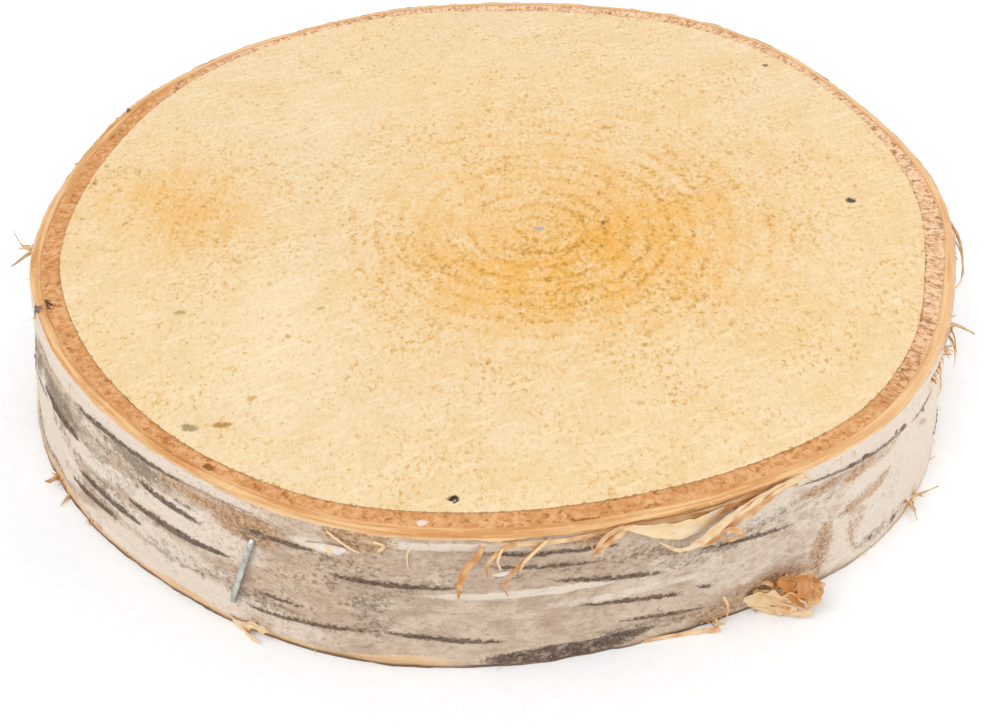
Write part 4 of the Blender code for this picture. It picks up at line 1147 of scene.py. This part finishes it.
class BIRCH_OT_fibres(bpy.types.Operator):
    """Model the hair-thin fibres along the torn and sawn edges"""
    bl_idname = "birch_slice.fibres"
    bl_label = "Fibres"

    def execute(self, context):
        sizes = context.scene.birch_sizes
        draw = random.Random(sizes.seed)
        bm = bmesh.new()
        tint_layer = bm.verts.layers.float.new("tint")
        for index in range(FIBRES):
            top = index % 3 != 0
            degrees = draw.uniform(*FIBRE_FRONT) if index % 5 else draw.uniform(*FIBRE_BACK)
            height = THICKNESS - draw.uniform(0.4, 1.2) if top else draw.uniform(0.2, 0.9)
            length = draw.uniform(*FIBRE_LENGTHS)
            lean = draw.uniform(-1.0, 1.0)
            drop = draw.uniform(-0.9, 0.1) if top else draw.uniform(-0.1, 0.5)
            points = []
            for step in range(FIBRE_STEPS + 1):
                part = step / FIBRE_STEPS * length
                turn = degrees + lean * part / math.radians(WOOD_RADIUS)
                level = min(max(height + drop * part, 0.12), THICKNESS - 0.15)
                points.append(on_wall(turn, level, -0.15 + 0.75 * part ** 0.8))
            root = sizes.fibre_radius / MM * draw.uniform(0.5, 1.1)
            tint = draw.uniform(0.1, 0.9)
            for vert in add_tube(bm, points, FIBRE_SIDES, hair_section(root)):
                vert[tint_layer] = tint
        close_tubes(bm, FIBRE_SIDES)
        finish_piece(bm, "bark_fibres", torn_bark_material(context.scene.birch_colours))
        return {"FINISHED"}


def staple_matrix():
    """Places the staple's flat outline: x along the crown, y into the slice."""
    along = (on_wall(*STAPLE_TOP) - on_wall(*STAPLE_FOOT)).normalized()
    inward = -outward((STAPLE_TOP[0] + STAPLE_FOOT[0]) / 2)
    inward = (inward - along * inward.dot(along)).normalized()
    low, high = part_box("staple")
    matrix = Matrix((along, inward, along.cross(inward))).transposed().to_4x4()
    # The crown's outer face is where the solid's is: both boxes share a middle
    matrix.translation = (low + high) / 2 / MM - inward * ((STAPLE_LEG + STAPLE_POINT) / 2)
    return matrix


def staple_section(last):
    """Section of wire drawn flat: a rounded rectangle, smaller at both ends."""
    def section(i, along, turn):
        across = Vector((0.0, 0.0, 1.0))
        thin = 0.35 if i in (0, last) else 1.0
        flat_c, flat_s = (math.copysign(abs(value) ** 0.55, value) / 2 * thin
                          for value in (math.cos(turn), math.sin(turn)))
        return (across * (flat_c * STAPLE_WIRE_WIDTH)
                + across.cross(along) * (flat_s * STAPLE_WIRE_THICKNESS))
    return section


class BIRCH_OT_staple(bpy.types.Operator):
    """Model the wire staple with rounded bends and chisel points"""
    bl_idname = "birch_slice.staple"
    bl_label = "Staple"

    def execute(self, context):
        wire = STAPLE_WIRE_THICKNESS / 2
        half, middle = STAPLE_CROWN / 2 - wire, wire + STAPLE_BEND
        right = [Vector((half, STAPLE_LEG + STAPLE_POINT * 0.7, 0.0)),
                 Vector((half, STAPLE_LEG, 0.0)), Vector((half, 2.0, 0.0))]
        for step in range(7):
            turn = math.pi / 2 * step / 6
            right.append(Vector((half - STAPLE_BEND * (1.0 - math.cos(turn)),
                                 middle - STAPLE_BEND * math.sin(turn), 0.0)))
        right += [Vector((half * part, wire, 0.0)) for part in (0.7, 0.35, 0.0)]
        points = right + [Vector((-point.x, point.y, 0.0)) for point in reversed(right[:-1])]
        bm = bmesh.new()
        add_tube(bm, points, STAPLE_SIDES, staple_section(len(points) - 1))
        close_tubes(bm, STAPLE_SIDES)
        bmesh.ops.transform(bm, matrix=staple_matrix(), verts=bm.verts)
        finish_piece(bm, "wire_staple", steel_material(), ("staple",))
        return {"FINISHED"}


class BIRCH_OT_stage(bpy.types.Operator):
    """Lay the pale floor and set the soft lights and the camera"""
    bl_idname = "birch_slice.stage"
    bl_label = "Stage"

    def execute(self, context):
        scene = context.scene
        bm = bmesh.new()
        bmesh.ops.create_grid(bm, x_segments=8, y_segments=8, size=3.0)
        mesh = bpy.data.meshes.new("paper_floor")
        bm.to_mesh(mesh)
        bm.free()
        link_object("paper_floor", mesh, floor_material())

        world = bpy.data.worlds.new("white_studio")
        world.use_nodes = True
        plug(world.node_tree, world.node_tree.nodes["Background"],
             {"Color": "#ffffff", "Strength": SKY_STRENGTH})
        scene.world = world
        for name, spot, size, power in LAMPS:
            lamp = bpy.data.lights.new(name, "AREA")
            lamp.shape, lamp.size, lamp.energy = "DISK", size, power
            holder = bpy.data.objects.new(name, lamp)
            holder.location = spot
            holder.rotation_euler = (-Vector(spot)).to_track_quat("-Z", "Y").to_euler()
            scene.collection.objects.link(holder)

        camera = bpy.data.cameras.new("camera")
        camera.lens, camera.sensor_width = CAMERA_LENS, CAMERA_SENSOR
        camera.clip_start, camera.clip_end = 0.01, 20.0
        holder = bpy.data.objects.new("camera", camera)
        turn = (CAMERA_AIM - CAMERA_PLACE).to_track_quat("-Z", "Y").to_matrix()
        turn @= Matrix.Rotation(math.radians(CAMERA_ROLL), 3, "Z")
        holder.matrix_world = Matrix.Translation(CAMERA_PLACE) @ turn.to_4x4()
        scene.collection.objects.link(holder)
        scene.camera = holder
        scene.view_settings.view_transform = "Standard"
        return {"FINISHED"}


class BIRCH_PT_panel(bpy.types.Panel):
    """Sizes, colours and pieces of the birch slice"""
    bl_idname = "BIRCH_PT_panel"
    bl_label = "Birch slice"
    bl_space_type = "VIEW_3D"
    bl_region_type = "UI"
    bl_category = "Birch slice"

    def draw(self, context):
        for group in (context.scene.birch_sizes, context.scene.birch_colours):
            box = self.layout.box()
            for name in group.__annotations__:
                box.prop(group, name)
        for operator in OPERATORS:
            self.layout.operator(operator.bl_idname)


OPERATORS = (BIRCH_OT_wood, BIRCH_OT_inner_bark, BIRCH_OT_outer_bark, BIRCH_OT_peels,
             BIRCH_OT_fibres, BIRCH_OT_staple, BIRCH_OT_stage)
CLASSES = (BIRCH_PG_sizes, BIRCH_PG_colours, *OPERATORS, BIRCH_PT_panel)


def register():
    for cls in CLASSES:
        bpy.utils.register_class(cls)
    bpy.types.Scene.birch_sizes = bpy.props.PointerProperty(type=BIRCH_PG_sizes)
    bpy.types.Scene.birch_colours = bpy.props.PointerProperty(type=BIRCH_PG_colours)


def unregister():
    del bpy.types.Scene.birch_colours
    del bpy.types.Scene.birch_sizes
    for cls in reversed(CLASSES):
        bpy.utils.unregister_class(cls)


def main():
    register()
    bpy.ops.birch_slice.wood()
    bpy.ops.birch_slice.inner_bark()
    bpy.ops.birch_slice.outer_bark()
    bpy.ops.birch_slice.peels()
    bpy.ops.birch_slice.fibres()
    bpy.ops.birch_slice.staple()
    bpy.ops.birch_slice.stage()


if __name__ == "__main__":
    main()
